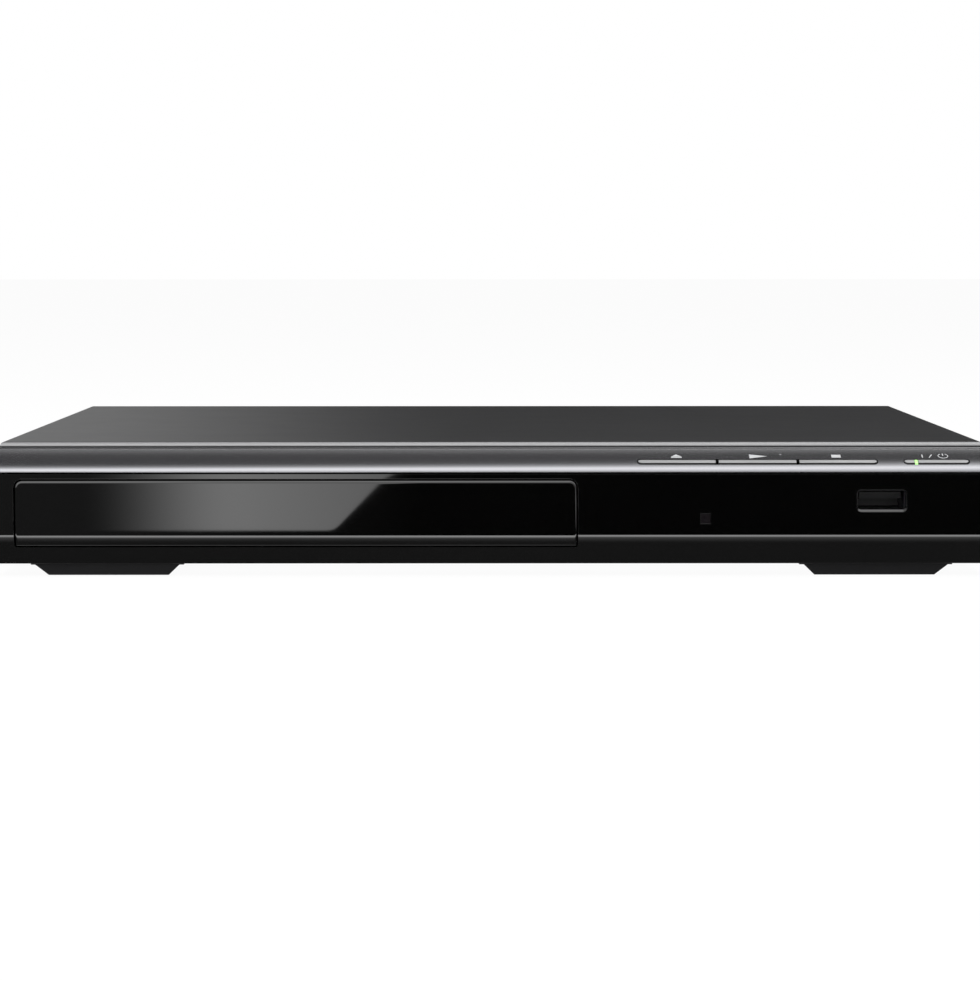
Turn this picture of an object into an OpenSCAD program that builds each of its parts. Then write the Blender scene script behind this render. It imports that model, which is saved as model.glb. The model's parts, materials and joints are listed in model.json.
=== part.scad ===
// A slim disc player with a motor-driven tray, in millimetres.
// X runs along the front, -Y faces the user, +Z is up, and Z = 0 is the shelf it stands on.
// The traverse that carries the spindle and the pickup is drawn lowered, as it is when the tray is free to move.

/* [Casing] */
// Width of the front panel
case_w = 270; // [262:1:320]
// Depth from the front face to the outside of the rear lip
case_d = 201; // [199:1:240]
// Height of the casing without its feet
body_h = 32.5; // [32:0.5:42]
// Thickness of the sheet steel
sheet_t = 0.8; // [0.6:0.1:1.2]
// Play between the cover and the parts that it slides over
cover_play = 0.2; // [0.1:0.05:0.4]
// Depth of the cover's front fold
front_fold = 4.5; // [3:0.5:5]
// Depth of the cover's rear lip
rear_fold = 7.5; // [6:0.5:8]
// Outer radius of the cover's bends
bend_r = 1.2; // [1:0.1:2]
// Height of the chassis side flanges
flange_h = 13; // [11:0.5:18]

/* [Feet] */
// Height of the feet
foot_h = 3.5; // [2.5:0.25:6]
// Width of a foot where it meets the casing
foot_w = 39.2; // [30:0.2:44]
// Length of a foot from front to back
foot_l = 26; // [18:1:32]
// Distance from the casing's end to a foot's centre line
foot_inset = 30.5; // [29:0.5:40]
// Inset of a foot's outer end at its sole
foot_outer_inset = 3.7; // [1:0.1:5]
// Inset of a foot's inner end at its sole
foot_inner_inset = 2.9; // [1:0.1:5]
// Distance from the front face to the front feet
foot_setback = 4.5; // [4:0.5:8]
// Distance from the rear lip to the rear feet
rear_foot_setback = 9; // [6:0.5:20]
// Thickness of the soft pad in each sole
pad_t = 1; // [0.6:0.1:1.6]
// Height by which a pad stands out of its sole
pad_proud = 0.3; // [0.2:0.05:0.5]

/* [Front panel] */
// Thickness of the front panel
panel_wall = 2; // [1.6:0.1:2.2]
// Height of the glossy face above the lower lip
face_h = 17.1; // [16.9:0.1:17.4]
// Height of the receding lower lip
lip_h = 8.05; // [7.6:0.05:8.2]
// Distance that the lower lip recedes
lip_recess = 3.5; // [2:0.1:4]
// Radius between the face and the lower lip
lip_r = 3.5; // [1:0.1:5]
// Depth of the sloping nose above the face
nose_d = 12; // [11.5:0.25:14]
// Step from the cover's top down to the back of the nose
nose_step = 1.65; // [1.2:0.05:2.2]
// Wall of the nose moulding
nose_wall = 1.5; // [1.2:0.1:1.6]
// Seam between two fixed mouldings
seam = 0.15; // [0.1:0.05:0.3]

/* [Tray] */
// Width of the tray's door
door_w = 152; // [148:0.5:154]
// Height of the tray's door
door_h = 18.1; // [17.4:0.1:18.1]
// Height of the door's lower edge above the casing's underside
door_base = 4.9; // [4.6:0.1:5.2]
// Distance from the casing's left end to the tray's centre line
tray_inset = 82.1; // [81:0.1:83]
// Radius of the door's upper corners
door_r = 2.2; // [1:0.1:3]
// Gap round the door
door_gap = 0.45; // [0.3:0.05:0.6]
// Travel of the tray
tray_travel = 131; // [126:0.5:131]
// Width of the tray's plate
tray_w = 128; // [127:0.5:130]
// Length of the tray behind the door
tray_l = 150; // [149:0.5:152]
// Distance from the tray's front edge to the disc's centre
disc_centre = 67; // [66.5:0.25:69]
// Diameter of the recess for a full-size disc
disc_d = 122; // [121:0.25:123]
// Diameter of the recess for a small disc
small_disc_d = 82; // [81:0.25:84]
// Depth of the recess for a full-size disc
recess_depth = 1.8; // [1.4:0.1:2]
// Further depth of the recess for a small disc
small_recess_depth = 1; // [0.6:0.1:1]
// Wall of the tray moulding
tray_wall = 1.6; // [1.3:0.1:1.6]
// Running gap between the tray's rails and their guides
rail_play = 0.2; // [0.15:0.05:0.3]

/* [Loading gears] */
// Module of the tray's rack and its pinion
rack_module = 1; // [0.9:0.05:1]
// Teeth of the rack pinion
pinion_teeth = 14; // [14:1:15]
// Module of the reduction gears
reduction_module = 0.8; // [0.7:0.05:0.8]
// Teeth of the large reduction gear
wheel_teeth = 34; // [30:2:34]
// Teeth of the pinion under the pulley
pulley_pinion_teeth = 12; // [11:1:13]
// Radius of the belt's line on the large pulley
pulley_r = 9; // [7:0.25:9]
// Radius of the belt's line on the motor pulley
motor_pulley_r = 3.3; // [3:0.1:4]
// Thickness of the square drive belt
belt_t = 1.2; // [1:0.1:1.4]
// Thinning of each tooth for backlash
backlash = 0.14; // [0.12:0.01:0.2]
// Radius of the gear posts
gear_post_r = 1.5; // [1.2:0.1:1.7]
// Radial play of a gear on its post
post_play = 0.1; // [0.08:0.01:0.15]

/* [Traverse] */
// Angle through which the traverse lifts to play a disc
lift_angle = 3.6; // [3.5:0.05:3.7]
// Distance from the spindle back to the traverse's hinge
hinge_distance = 80; // [79:0.5:82]
// Radius of the hinge pins
hinge_pin_r = 1.9; // [1.5:0.1:2]
// Travel of the cam slider that lifts the traverse
cam_travel = 14; // [12:0.5:15]
// Radius of the traverse's lifting pins
lift_pin_r = 1.3; // [1.1:0.1:1.5]
// Diameter of the turntable
turntable_d = 31; // [28:0.5:32]
// Diameter of the turntable's centring hub
hub_d = 14.8; // [14.4:0.1:14.9]
// Diameter of the spindle motor
spindle_motor_d = 25; // [22:0.5:26]
// Travel of the pickup along its rods
pickup_travel = 34.5; // [30:0.5:35]
// Distance from the spindle to the lens at the inner stop
lens_inner = 23; // [23:0.25:24]
// Radius of the guide rods
rod_r = 1.5; // [1.2:0.1:1.6]
// Distance of each guide rod from the disc's centre line
rod_x = 20; // [18:0.5:21]
// Running gap of the pickup on its rods
rod_play = 0.1; // [0.08:0.01:0.15]

/* [Keys] */
// Distance from the casing's right end to the left end of the row of three keys
keys_inset = 95.5; // [93:0.25:99]
// Length of each of the three keys
key_w = 21.2; // [18:0.1:21.2]
// Pitch of the three keys
key_pitch = 21.84; // [21.8:0.02:22.4]
// Distance from the casing's right end to the left end of the power key
power_key_inset = 23.4; // [23:0.1:25]
// Length of the power key
power_key_w = 17.6; // [15:0.1:18]
// Thickness of a key from front to back
key_t = 1.7; // [1.4:0.05:1.8]
// Distance from the front face to the keys
key_setback = 1.9; // [1.85:0.01:2]
// Height by which the keys stand above the nose
key_proud = 0.35; // [0.2:0.05:0.45]
// Gap round a key
key_gap = 0.25; // [0.15:0.01:0.25]
// Width of the light window in the power key
light_w = 0.95; // [0.8:0.05:1.5]
// Distance from the power key's left end to its light window
light_inset = 2.9; // [2:0.1:5]

/* [Front sockets] */
// Distance from the casing's right end to the data socket's centre
port_inset = 29.6; // [25:0.1:35]
// Height of the data socket's centre above the casing's underside
port_z = 17.3; // [17.1:0.1:17.3]
// Width of the opening for the data socket
port_w = 13.5; // [13.5:0.1:14.5]
// Height of the opening for the data socket
port_h = 6.05; // [6.05:0.05:6.5]
// Distance from the casing's right end to the centre of the remote sensor's window
sensor_inset = 77.2; // [50:0.1:84]
// Height of the sensor window's centre above the door's lower edge
sensor_h = 7.6; // [6:0.1:9]
// Width of the remote sensor's window
sensor_w = 2.6; // [2:0.1:4]

/* [Rear sockets] */
// Length of the socket barrels behind the rear lip
jack_out = 6; // [5:0.5:8]
// Radius of an audio or video socket's barrel
jack_r = 4.15; // [4.1:0.05:4.2]
// Radius of the socket's centre contact
jack_bore_r = 1.7; // [1.6:0.05:1.8]
// Pitch of the audio and video sockets
jack_pitch = 14; // [13.5:0.25:14.5]
// Distance from the casing's right end to the first audio or video socket
jack_inset = 61; // [59:0.5:62]
// Distance from the first audio or video socket to the display socket
display_pitch = 19; // [18:0.5:22]
// Distance from the casing's left end to the mains inlet's centre
inlet_inset = 23; // [21:0.5:28]
// Height of the rear sockets' centres above the casing's underside
jack_z = 14; // [13.5:0.25:15]

/* [Boards] */
// Thickness of the circuit boards
board_t = 1.6; // [1.2:0.1:1.8]
// Height of the board posts
board_post_h = 4; // [3.5:0.25:4.5]
// Space beside the main board, on its left and on its right
main_board_side = 7; // [6:0.5:9]
// Depth of the main board
main_board_d = 126; // [118:1:130]
// Width of the power board
power_board_w = 122; // [118:0.5:124]
// Depth of the power board
power_board_d = 21; // [20:0.5:24]

/* [Hidden] */
$fn = 48;

// Places along the front and the rear, from the casing's ends
foot_x = case_w / 2 - foot_inset;
keys_x = case_w / 2 - keys_inset;
power_key_x = case_w / 2 - power_key_inset;
port_x = case_w / 2 - port_inset;
sensor_x = case_w / 2 - sensor_inset;
jack_x = case_w / 2 - jack_inset;
display_x = jack_x - display_pitch;
inlet_x = -case_w / 2 + inlet_inset;

// Levels of the casing
y_front = -(case_d + jack_out) / 2;
y_back = y_front + case_d;
z_bot = foot_h;
z_floor = z_bot + sheet_t;
z_top = z_bot + body_h;
z_roof = z_top - sheet_t;
z_lip = z_bot + lip_h;
z_face = z_lip + face_h;
z_nose = z_top - nose_step;
y_cover = y_front + nose_d + 0.5;
cover_x = case_w / 2 - 0.3;
inner_x = cover_x - sheet_t;
chassis_x = inner_x - cover_play;
y_panel = y_back - sheet_t;

// Front panel section
lip_slope = atan(lip_recess / lip_h);
lip_tangent = lip_r * tan(lip_slope / 2);
nose_sag = 1.15;
nose_bulge = 2.55;
nose_steps = 16;
nose_curve = [[y_front + nose_d, z_nose], [y_front + nose_d / 2, z_nose - nose_sag],
    [y_front, z_face + nose_bulge], [y_front, z_face]];
nose_back_h = 4;

// Tray levels, from the door's top edge down
z_door = z_bot + door_base;
door_x = -case_w / 2 + tray_inset;
z_sensor = z_door + sensor_h;
tray_top = z_door + door_h - 2.5;
disc_floor = tray_top - recess_depth;
small_floor = disc_floor - small_recess_depth;
tray_y0 = y_front + panel_wall;
tray_y1 = tray_y0 + tray_l;
disc_y = tray_y0 + disc_centre;
rear_bridge_t = 2;
rail_w = 3.4;
rail_z0 = tray_top - 4.5;
rail_h = 2.6;
slot_front_r = 18.5;
slot_w = 54;
slot_end = disc_y + 66;

// Loader
loader_wall = 3;
loader_x = tray_w / 2 + rail_w + 1.6 + loader_wall;
loader_y0 = y_front + 7.5;
loader_y1 = tray_y1 + 4;
loader_wall_t = 2.5;
loader_z = z_floor + 1.4;
loader_base = loader_z + 1.5;
guide_w = 3;
bridge_z = tray_top + 4.2;
bridge_t = 1.2;
bridge_y0 = disc_y - 20;
bridge_y1 = disc_y + 20;

// Loading gears
rack_x = 52.9;
rack_z0 = tray_top - 8;
rack_back = 3.4;
gear_y = y_front + 18.5;
drive_x = rack_x - rack_module * pinion_teeth / 2;
wheel_r = reduction_module * wheel_teeth / 2;
pulley_pinion_r = reduction_module * pulley_pinion_teeth / 2;
pulley_x = drive_x - wheel_r - pulley_pinion_r;
motor_x = -9;
wheel_z = tray_top - 14.5;
wheel_h = 2.5;
belt_z = tray_top - 7.6;
pulley_rim = 1.1;
motor_r = 10.2;
motor_top = belt_z - 2.9;

// Traverse, in its level playing state; tilt() lowers it
play_z = disc_floor + 1.5;
hinge_y = disc_y + hinge_distance;
hinge_z = play_z - 8.7;
frame_x = 45;
frame_bar = 5.5;
frame_y0 = disc_y - 27;
frame_y1 = hinge_y + 2.5;
frame_z0 = play_z - 10.7;
frame_z1 = play_z - 6.7;
deck_z = play_z - 6.5;
deck_t = 1.2;
deck_x = 38.5;
deck_y0 = frame_y0 + 6;
deck_y1 = hinge_y - 4;
damper_x = 34;
damper_y0 = deck_y0 + 5;
damper_y1 = deck_y1 - 5;
lug_z1 = frame_z0 + 1.6;
lift_pin_x = 22;
lift_pin_l = 7.3;
cam_y = frame_y0 - 6.6;
cam_t = 3;
pin_reach = hinge_y - cam_y - cam_t / 2;
pin_low = hinge_z - pin_reach * sin(lift_angle);
pin_play = 0.3;
hub_h = 2.4;
lens_y = disc_y + lens_inner;
pickup_front = 7;
pickup_back = 14;
pickup_x = 23;
pickup_z0 = play_z - 10.2;
pickup_z1 = play_z - 4.2;
rod_z = play_z - 8.5;
sled_rack_x = 25.5;
sled_module = 0.6;
sled_teeth = 14;
sled_wheel_module = 0.5;
sled_wheel_teeth = 32;
sled_pinion_teeth = 10;
sled_gear_x = sled_rack_x + sled_module * sled_teeth / 2;
sled_gear_y = lens_y + pickup_travel / 2;
sled_motor_r = 5.2;
sled_motor_x = sled_rack_x + 0.5 + sled_motor_r + 0.8;
sled_centres = sled_wheel_module * (sled_wheel_teeth + sled_pinion_teeth) / 2;
sled_motor_y = sled_gear_y - sqrt(pow(sled_centres, 2) - pow(sled_motor_x - sled_gear_x, 2));
sled_way = atan2(sled_motor_y - sled_gear_y, sled_motor_x - sled_gear_x);

// Keys and front board
z_flange = z_face + 0.15;
flange_t = 1.2;
flange_end = 8.5;
switch_w = 6;
board_z0 = z_bot + port_z + 2.86;
board_z1 = board_z0 + board_t;
front_board_x0 = keys_x + key_w / 2 - switch_w / 2 - 0.5;
front_board_x1 = case_w / 2 - 4;
switch_setback = 6;
switch_top = z_flange - 0.9;
plunger_r = 1.6;

// Rear sockets
z_jack = z_bot + jack_z;
jack_count = 4;
jack_end = y_back + jack_out;
jack_root = y_panel - 7;
jack_wall = 0.6;
jack_root_r = jack_r - 0.35;
jack_collar_r = 4.8;

// Boards
board_z = z_floor + board_post_h;
board_top = board_z + board_t;
main_x0 = door_x + loader_x + main_board_side;
main_x1 = chassis_x - sheet_t - main_board_side;
main_x = (main_x0 + main_x1) / 2;
main_y1 = y_panel - sheet_t - 1.5;
main_y0 = main_y1 - main_board_d;
power_x0 = -chassis_x + 5;
power_x1 = power_x0 + power_board_w;
power_y1 = main_y1;
power_y0 = power_y1 - power_board_d;
post_inset = 5;

// ---- helpers ----

// A block between two corners, given as ranges
module block(x, y, z) {
    translate([x[0], y[0], z[0]]) cube([x[1] - x[0], y[1] - y[0], z[1] - z[0]]);
}

// An upright cylinder
module post(x, y, z, r) {
    translate([x, y, z[0]]) cylinder(h = z[1] - z[0], r = r);
}

// A cylinder that lies along Y
module rod_y(x, y, z, r) {
    translate([x, y[1], z]) rotate([90, 0, 0]) cylinder(h = y[1] - y[0], r = r);
}

// A cylinder that lies along X
module rod_x_axis(x, y, z, r) {
    translate([x[0], y, z]) rotate([0, 90, 0]) cylinder(h = x[1] - x[0], r = r);
}

// Carries an outline in Y and Z along X
module along_x(x) {
    translate([x[0], 0, 0]) rotate([90, 0, 90]) linear_extrude(x[1] - x[0]) children();
}

// Carries an outline in X and Z along Y
module along_y(y) {
    translate([0, y[1], 0]) rotate([90, 0, 0]) linear_extrude(y[1] - y[0]) children();
}

// Moves what is drawn about the disc's centre line into the row frame
module in_loader() {
    translate([door_x, 0, 0]) children();
}

// Lowers the level traverse about its hinge
module tilt() {
    translate([0, hinge_y, hinge_z]) rotate([lift_angle, 0, 0])
        translate([0, -hinge_y, -hinge_z]) children();
}

function arc(c, r, a0, a1, n) = [for (i = [0:n]) let (a = a0 + (a1 - a0) * i / n) c + r * [cos(a), sin(a)]];

// A rectangle about a centre with one radius for its upper and one for its lower corners
function rounded(c, w, h, r_top, r_low) = concat(
    arc(c + [w / 2 - r_top, h / 2 - r_top], r_top, 0, 90, 6),
    arc(c + [-w / 2 + r_top, h / 2 - r_top], r_top, 90, 180, 6),
    arc(c + [-w / 2 + r_low, -h / 2 + r_low], r_low, 180, 270, 6),
    arc(c + [w / 2 - r_low, -h / 2 + r_low], r_low, 270, 360, 6));

function bezier(p, u) = pow(1 - u, 3) * p[0] + 3 * pow(1 - u, 2) * u * p[1]
    + 3 * (1 - u) * u * u * p[2] + u * u * u * p[3];
function bezier_way(p, u) = 3 * pow(1 - u, 2) * (p[1] - p[0]) + 6 * (1 - u) * u * (p[2] - p[1])
    + 3 * u * u * (p[3] - p[2]);
function inward(d) = [-d[1], d[0]] / norm(d);

// Points of the nose's curve, moved inwards by a wall
function nose_points(wall) = [for (i = [0:nose_steps]) let (u = i / nose_steps)
    bezier(nose_curve, u) + wall * inward(bezier_way(nose_curve, u))];
// Height of the nose at a distance behind the front face
function nose_height(t) = lookup(t, [for (p = nose_points(0)) [p[0] - y_front, p[1]]]);

// Involute gear outline: module m, z teeth, addendum and dedendum in modules
pressure = 20;
function involute(a) = tan(a) * 180 / PI - a;
function flank(m, z, r) = 90 / z - backlash / (m * z) * 180 / PI + involute(pressure)
    - involute(acos(min(1, m * z / 2 * cos(pressure) / r)));
function gear_outline(m, z, add = 0.85, ded = 1.15, n = 4) =
    let (rp = m * z / 2, rb = rp * cos(pressure), ra = rp + add * m, rf = rp - ded * m, r0 = max(rb, rf))
    [for (k = [0:z - 1]) let (c = 360 * k / z)
        for (p = concat([[rf, -flank(m, z, r0)]],
                [for (i = [0:n]) let (r = r0 + (ra - r0) * i / n) [r, -flank(m, z, r)]],
                [for (i = [n:-1:0]) let (r = r0 + (ra - r0) * i / n) [r, flank(m, z, r)]],
                [[rf, flank(m, z, r0)]]))
            p[0] * [cos(c + p[1]), sin(c + p[1])]];

// Turn of gear b so that it meshes with gear a, which has a tooth at angle 0 and sees b in the direction way
function mesh_turn(way, teeth_a, teeth_b) = way + 180 - 180 / teeth_b + way * teeth_a / teeth_b;

// Rack outline along +Y with its teeth towards -X, from y0 to y1, with a space centred on y = phase
function rack_outline(m, y0, y1, phase, back, add = 0.8, ded = 1.15) =
    let (pitch = PI * m, half = pitch / 4 - backlash / 2,
        tip = half - add * m * tan(pressure), foot = half + ded * m * tan(pressure),
        first = ceil((y0 + pitch / 2 - phase) / pitch - 0.5), last = floor((y1 - pitch / 2 - phase) / pitch - 0.5))
    concat([[back, y0], [ded * m, y0]],
        [for (k = [first:last]) let (c = phase + (k + 0.5) * pitch)
            for (p = [[ded * m, c - foot], [-add * m, c - tip], [-add * m, c + tip], [ded * m, c + foot]]) p],
        [[ded * m, y1], [back, y1]]);

// ---- casing ----

// Section of the front panel's skin: the face, the lower lip and the turned-in underside
function panel_outer() = concat([[y_front, z_face - seam]],
    arc([y_front + lip_r, z_lip + lip_tangent], lip_r, 180, 180 + lip_slope, 6),
    [[y_front + lip_recess, z_bot], [y_front + nose_d, z_bot]]);
function panel_inner(wall) = [[y_front + nose_d, z_bot + wall],
    [y_front + lip_recess + wall * tan(45 - lip_slope / 2), z_bot + wall],
    [y_front + wall, z_lip + wall * tan(lip_slope / 2)], [y_front + wall, z_face - seam]];

module panel_skin(x) {
    along_x(x) polygon(concat(panel_outer(), panel_inner(panel_wall)));
}

module door_window(grow) {
    along_y([y_front - 1, y_front + nose_d + 1])
        polygon(rounded([door_x, z_door + door_h / 2], door_w + 2 * grow, door_h + 2 * grow,
            door_r + grow, 0.4 + grow));
}

module front_bezel() {
    rib_y = [y_front + panel_wall - 0.01, y_front + 14];
    color("#141415") difference() {
        union() {
            panel_skin([-case_w / 2, case_w / 2]);
            // end cheeks
            for (x = [-case_w / 2, case_w / 2 - panel_wall])
                along_x([x, x + panel_wall])
                    polygon(concat(panel_outer(), [[y_front + nose_d, z_face - seam]]));
            // shelf that the nose moulding sits on, clear of the keys
            block([-case_w / 2 + 1, keys_x - 5], [y_front + 1, y_front + panel_wall + 2],
                [z_face - seam - 1.2, z_face - seam]);
            // ledges under the front board
            for (x = [door_x + door_w / 2 + 25, front_board_x1 - 3])
                block([x, x + 2], rib_y, [board_z0 - 2, board_z0]);
            // tongues that lie on the chassis floor
            for (x = tongue_x)
                block([x - 3, x + 3], [y_front + nose_d - 2, y_front + nose_d + 8],
                    [z_floor, z_floor + 1.4]);
        }
        door_window(door_gap);
        port_opening(0);
        along_y([y_front - 1, y_front + panel_wall + 1])
            translate([sensor_x, z_sensor]) square(sensor_w + 0.1, center = true);
    }
}

module port_opening(grow) {
    along_y([y_front - 1, y_front + panel_wall + 0.5])
        polygon(rounded([port_x, z_bot + port_z], port_w + grow, port_h + grow, 1.2, 1.2));
}

module key_cut(x0, w) {
    block([x0 - key_gap, x0 + w + key_gap],
        [y_front + key_setback - key_gap, y_front + key_setback + key_t + key_gap],
        [z_face + 0.5, z_top]);
}

module nose_trim() {
    color("#6f7074") difference() {
        union() {
            along_x([-case_w / 2, case_w / 2])
                polygon(concat(nose_points(0), [for (i = [nose_steps:-1:0]) nose_points(nose_wall)[i]]));
            block([-case_w / 2, case_w / 2], [y_front + nose_d - nose_wall, y_front + nose_d],
                [z_nose - nose_back_h, z_nose]);
            for (x = [-case_w / 2, case_w / 2 - nose_wall])
                along_x([x, x + nose_wall])
                    polygon(concat(nose_points(0), [[y_front + nose_d, z_face]]));
        }
        key_cut(keys_x, 2 * key_pitch + key_w);
        key_cut(power_key_x, power_key_w);
    }
}

module sensor_window() {
    color("#2a1c24") along_y([y_front, y_front + panel_wall])
        translate([sensor_x, z_sensor]) square(sensor_w, center = true);
}

// The cover's outer form, or its hollow when shrunk by the sheet
module cover_form(inset) {
    r = max(0.1, bend_r - inset);
    w = 2 * (cover_x - inset);
    intersection() {
        along_y([y_cover + inset, y_back - inset])
            polygon(rounded([0, (z_top + z_bot) / 2 - inset / 2 - 2], w, body_h - inset + 4, r, 0.1));
        along_x([-case_w, case_w])
            polygon(rounded([(y_cover + y_back) / 2, (z_top + z_bot) / 2 - inset / 2 - 2],
                y_back - y_cover - 2 * inset, body_h - inset + 4, r, 0.1));
    }
}

module top_cover() {
    color("#3b3b3d") difference() {
        cover_form(0);
        cover_form(sheet_t);
        block([-case_w, case_w], [y_cover - 1, y_back + 1], [z_bot - 5, z_bot]);
        block([-inner_x, inner_x], [y_cover - 1, y_cover + 2], [z_bot - 1, z_top - front_fold]);
        block([-inner_x, inner_x], [y_panel - 2, y_back + 1], [z_bot - 1, z_top - rear_fold]);
        for (y = side_screw_y, s = [-1, 1])
            rod_x_axis([s * cover_x - 3, s * cover_x + 3], y, z_bot + side_screw_h, screw_r + 0.2);
        for (x = rear_screw_x) rod_y(x, [y_panel - 2, y_back + 1], z_top - rear_screw_drop, screw_r + 0.2);
        // cooling slots low on both sides
        for (i = [0:11], s = [-1, 1])
            block([s * cover_x - 2, s * cover_x + 2], [side_vent_y + vent_pitch * i, side_vent_y + vent_pitch * i + vent_w],
                [z_bot + 16, z_bot + 26]);
    }
}

screw_r = 1.4;
vent_w = 1.7;
vent_pitch = 4;
side_vent_y = y_back - 77.5;
side_screw_y = [y_front + 33.5, y_back - 17.5];
side_screw_h = 8.5;
rear_screw_x = [-case_w / 2 + 17, 0, case_w / 2 - 17];
rear_screw_drop = 4.2;

// One cover screw with its head at the origin and its shank along -Z
module cover_screw() {
    difference() {
        union() {
            cylinder(h = 1.2, r = 3);
            translate([0, 0, 1.2]) cylinder(h = 0.6, r1 = 3, r2 = 2.2, $fn = 32);
            translate([0, 0, -5.5]) cylinder(h = 5.6, r = screw_r);
        }
        for (a = [0, 90]) rotate([0, 0, a]) translate([-1.7, -0.35, 0.8]) cube([3.4, 0.7, 2]);
    }
}

module cover_screws() {
    color("#1c1c1e") {
        for (y = side_screw_y, s = [-1, 1])
            translate([s * cover_x, y, z_bot + side_screw_h]) rotate([0, s * 90, 0]) cover_screw();
        for (x = rear_screw_x) translate([x, y_back, z_top - rear_screw_drop]) rotate([-90, 0, 0]) cover_screw();
    }
}

main_posts = [for (x = [main_x0 + post_inset, main_x1 - post_inset], y = [main_y0 + post_inset, main_y1 - 14.5]) [x, y]];
power_posts = [for (x = [power_x0 + 31, power_x1 - post_inset]) [x, power_y0 + post_inset]];
board_posts = concat(main_posts, power_posts);
foot_y = [y_front + foot_setback + foot_l / 2, y_back - rear_foot_setback - foot_l / 2];
foot_peg_r = 2.5;

module bottom_chassis() {
    y0 = y_front + nose_d + 0.3;
    color("#a9acb0") difference() {
        union() {
            block([-chassis_x, chassis_x], [y0, y_panel], [z_bot, z_floor]);
            for (s = [-1, 1])
                block([min(s * chassis_x, s * (chassis_x - sheet_t)), max(s * chassis_x, s * (chassis_x - sheet_t))],
                    [y0 + 2, y_panel - sheet_t], [z_bot, z_bot + flange_h]);
            for (p = board_posts) post(p[0], p[1], [z_floor - 0.01, board_z], 3);
        }
        for (p = board_posts) post(p[0], p[1], [z_floor + 0.2, board_z + 1], screw_r);
        for (y = side_screw_y, s = [-1, 1])
            rod_x_axis([s * chassis_x - 3, s * chassis_x + 3], y, z_bot + side_screw_h, screw_r + 0.2);
        for (s = [-1, 1], i = [0, 1]) post(s * foot_x, foot_peg_y(i), [z_bot - 1, z_floor + 1], foot_peg_r + 0.1);
        // cooling slots under the boards
        for (i = [0:11]) let (x = main_x + vent_pitch * (i - 6))
            block([x, x + vent_w], [main_y0 + 22, main_y0 + 54], [z_bot - 1, z_floor + 1]);
        for (i = [0:9]) let (x = power_x0 + 36 + vent_pitch * i)
            block([x, x + vent_w], [power_y0 + 3, power_y1 - 3], [z_bot - 1, z_floor + 1]);
    }
}

function foot_peg_y(i) = foot_y[i] + (i == 0 ? foot_l / 2 - 5 : 0);

module rear_panel() {
    y = [y_panel - sheet_t, y_panel];
    color("#26272a") difference() {
        union() {
            block([-chassis_x, chassis_x], y, [z_floor, z_roof - max(0.1, bend_r - sheet_t) - 0.1]);
            for (x = [-60, 20, 60]) block([x - 7, x + 7], [y_panel - 7, y_panel], [z_floor, z_floor + sheet_t]);
        }
        for (k = [0:jack_count - 1])
            rod_y(jack_x + k * jack_pitch, [y[0] - 1, y[1] + 1], z_jack, jack_collar_r + 0.2);
        along_y([y[0] - 1, y[1] + 1]) {
            polygon(rounded([display_x, board_top + 3.05], 15.6, 6.4, 0.6, 0.6));
            polygon(rounded([inlet_x, z_jack], 20.4, 12.4, 1, 1));
        }
        for (x = rear_screw_x) rod_y(x, [y[0] - 1, y[1] + 1], z_top - rear_screw_drop, screw_r + 0.2);
        // cooling slots over the boards
        for (i = [0:15]) let (x = power_x0 + 43 + vent_pitch * i)
            block([x, x + vent_w], [y[0] - 1, y[1] + 1], [z_bot + 10, z_bot + 20]);
    }
}

module foot(side) {
    ledge = 0.4;
    w = foot_w / 2;
    outer = foot_outer_inset;
    inner = foot_inner_inset;
    along_y([-foot_l / 2, foot_l / 2])
        polygon([[-w - 1.2, z_bot], [-w - 1.2, z_bot - ledge], [-w, z_bot - ledge],
            [-w + (side < 0 ? outer : inner), pad_proud], [w - (side < 0 ? inner : outer), pad_proud],
            [w, z_bot - ledge], [w + 1.2, z_bot - ledge], [w + 1.2, z_bot]]);
}

module foot_place(side, i) {
    translate([side * foot_x, foot_y[i], 0]) children();
}

module feet() {
    color("#18181a") for (s = [-1, 1], i = [0, 1]) difference() {
        union() {
            foot_place(s, i) foot(s);
            post(s * foot_x, foot_peg_y(i), [z_bot - 0.01, z_floor + 1.2], foot_peg_r);
        }
        foot_place(s, i) block([-11, 11], [-8, 8], [-1, pad_t]);
    }
}

module foot_pads() {
    color("#0e0e0f") for (s = [-1, 1], i = [0, 1]) foot_place(s, i) block([-10.9, 10.9], [-7.9, 7.9], [0, pad_t]);
}

// ---- loader ----

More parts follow.
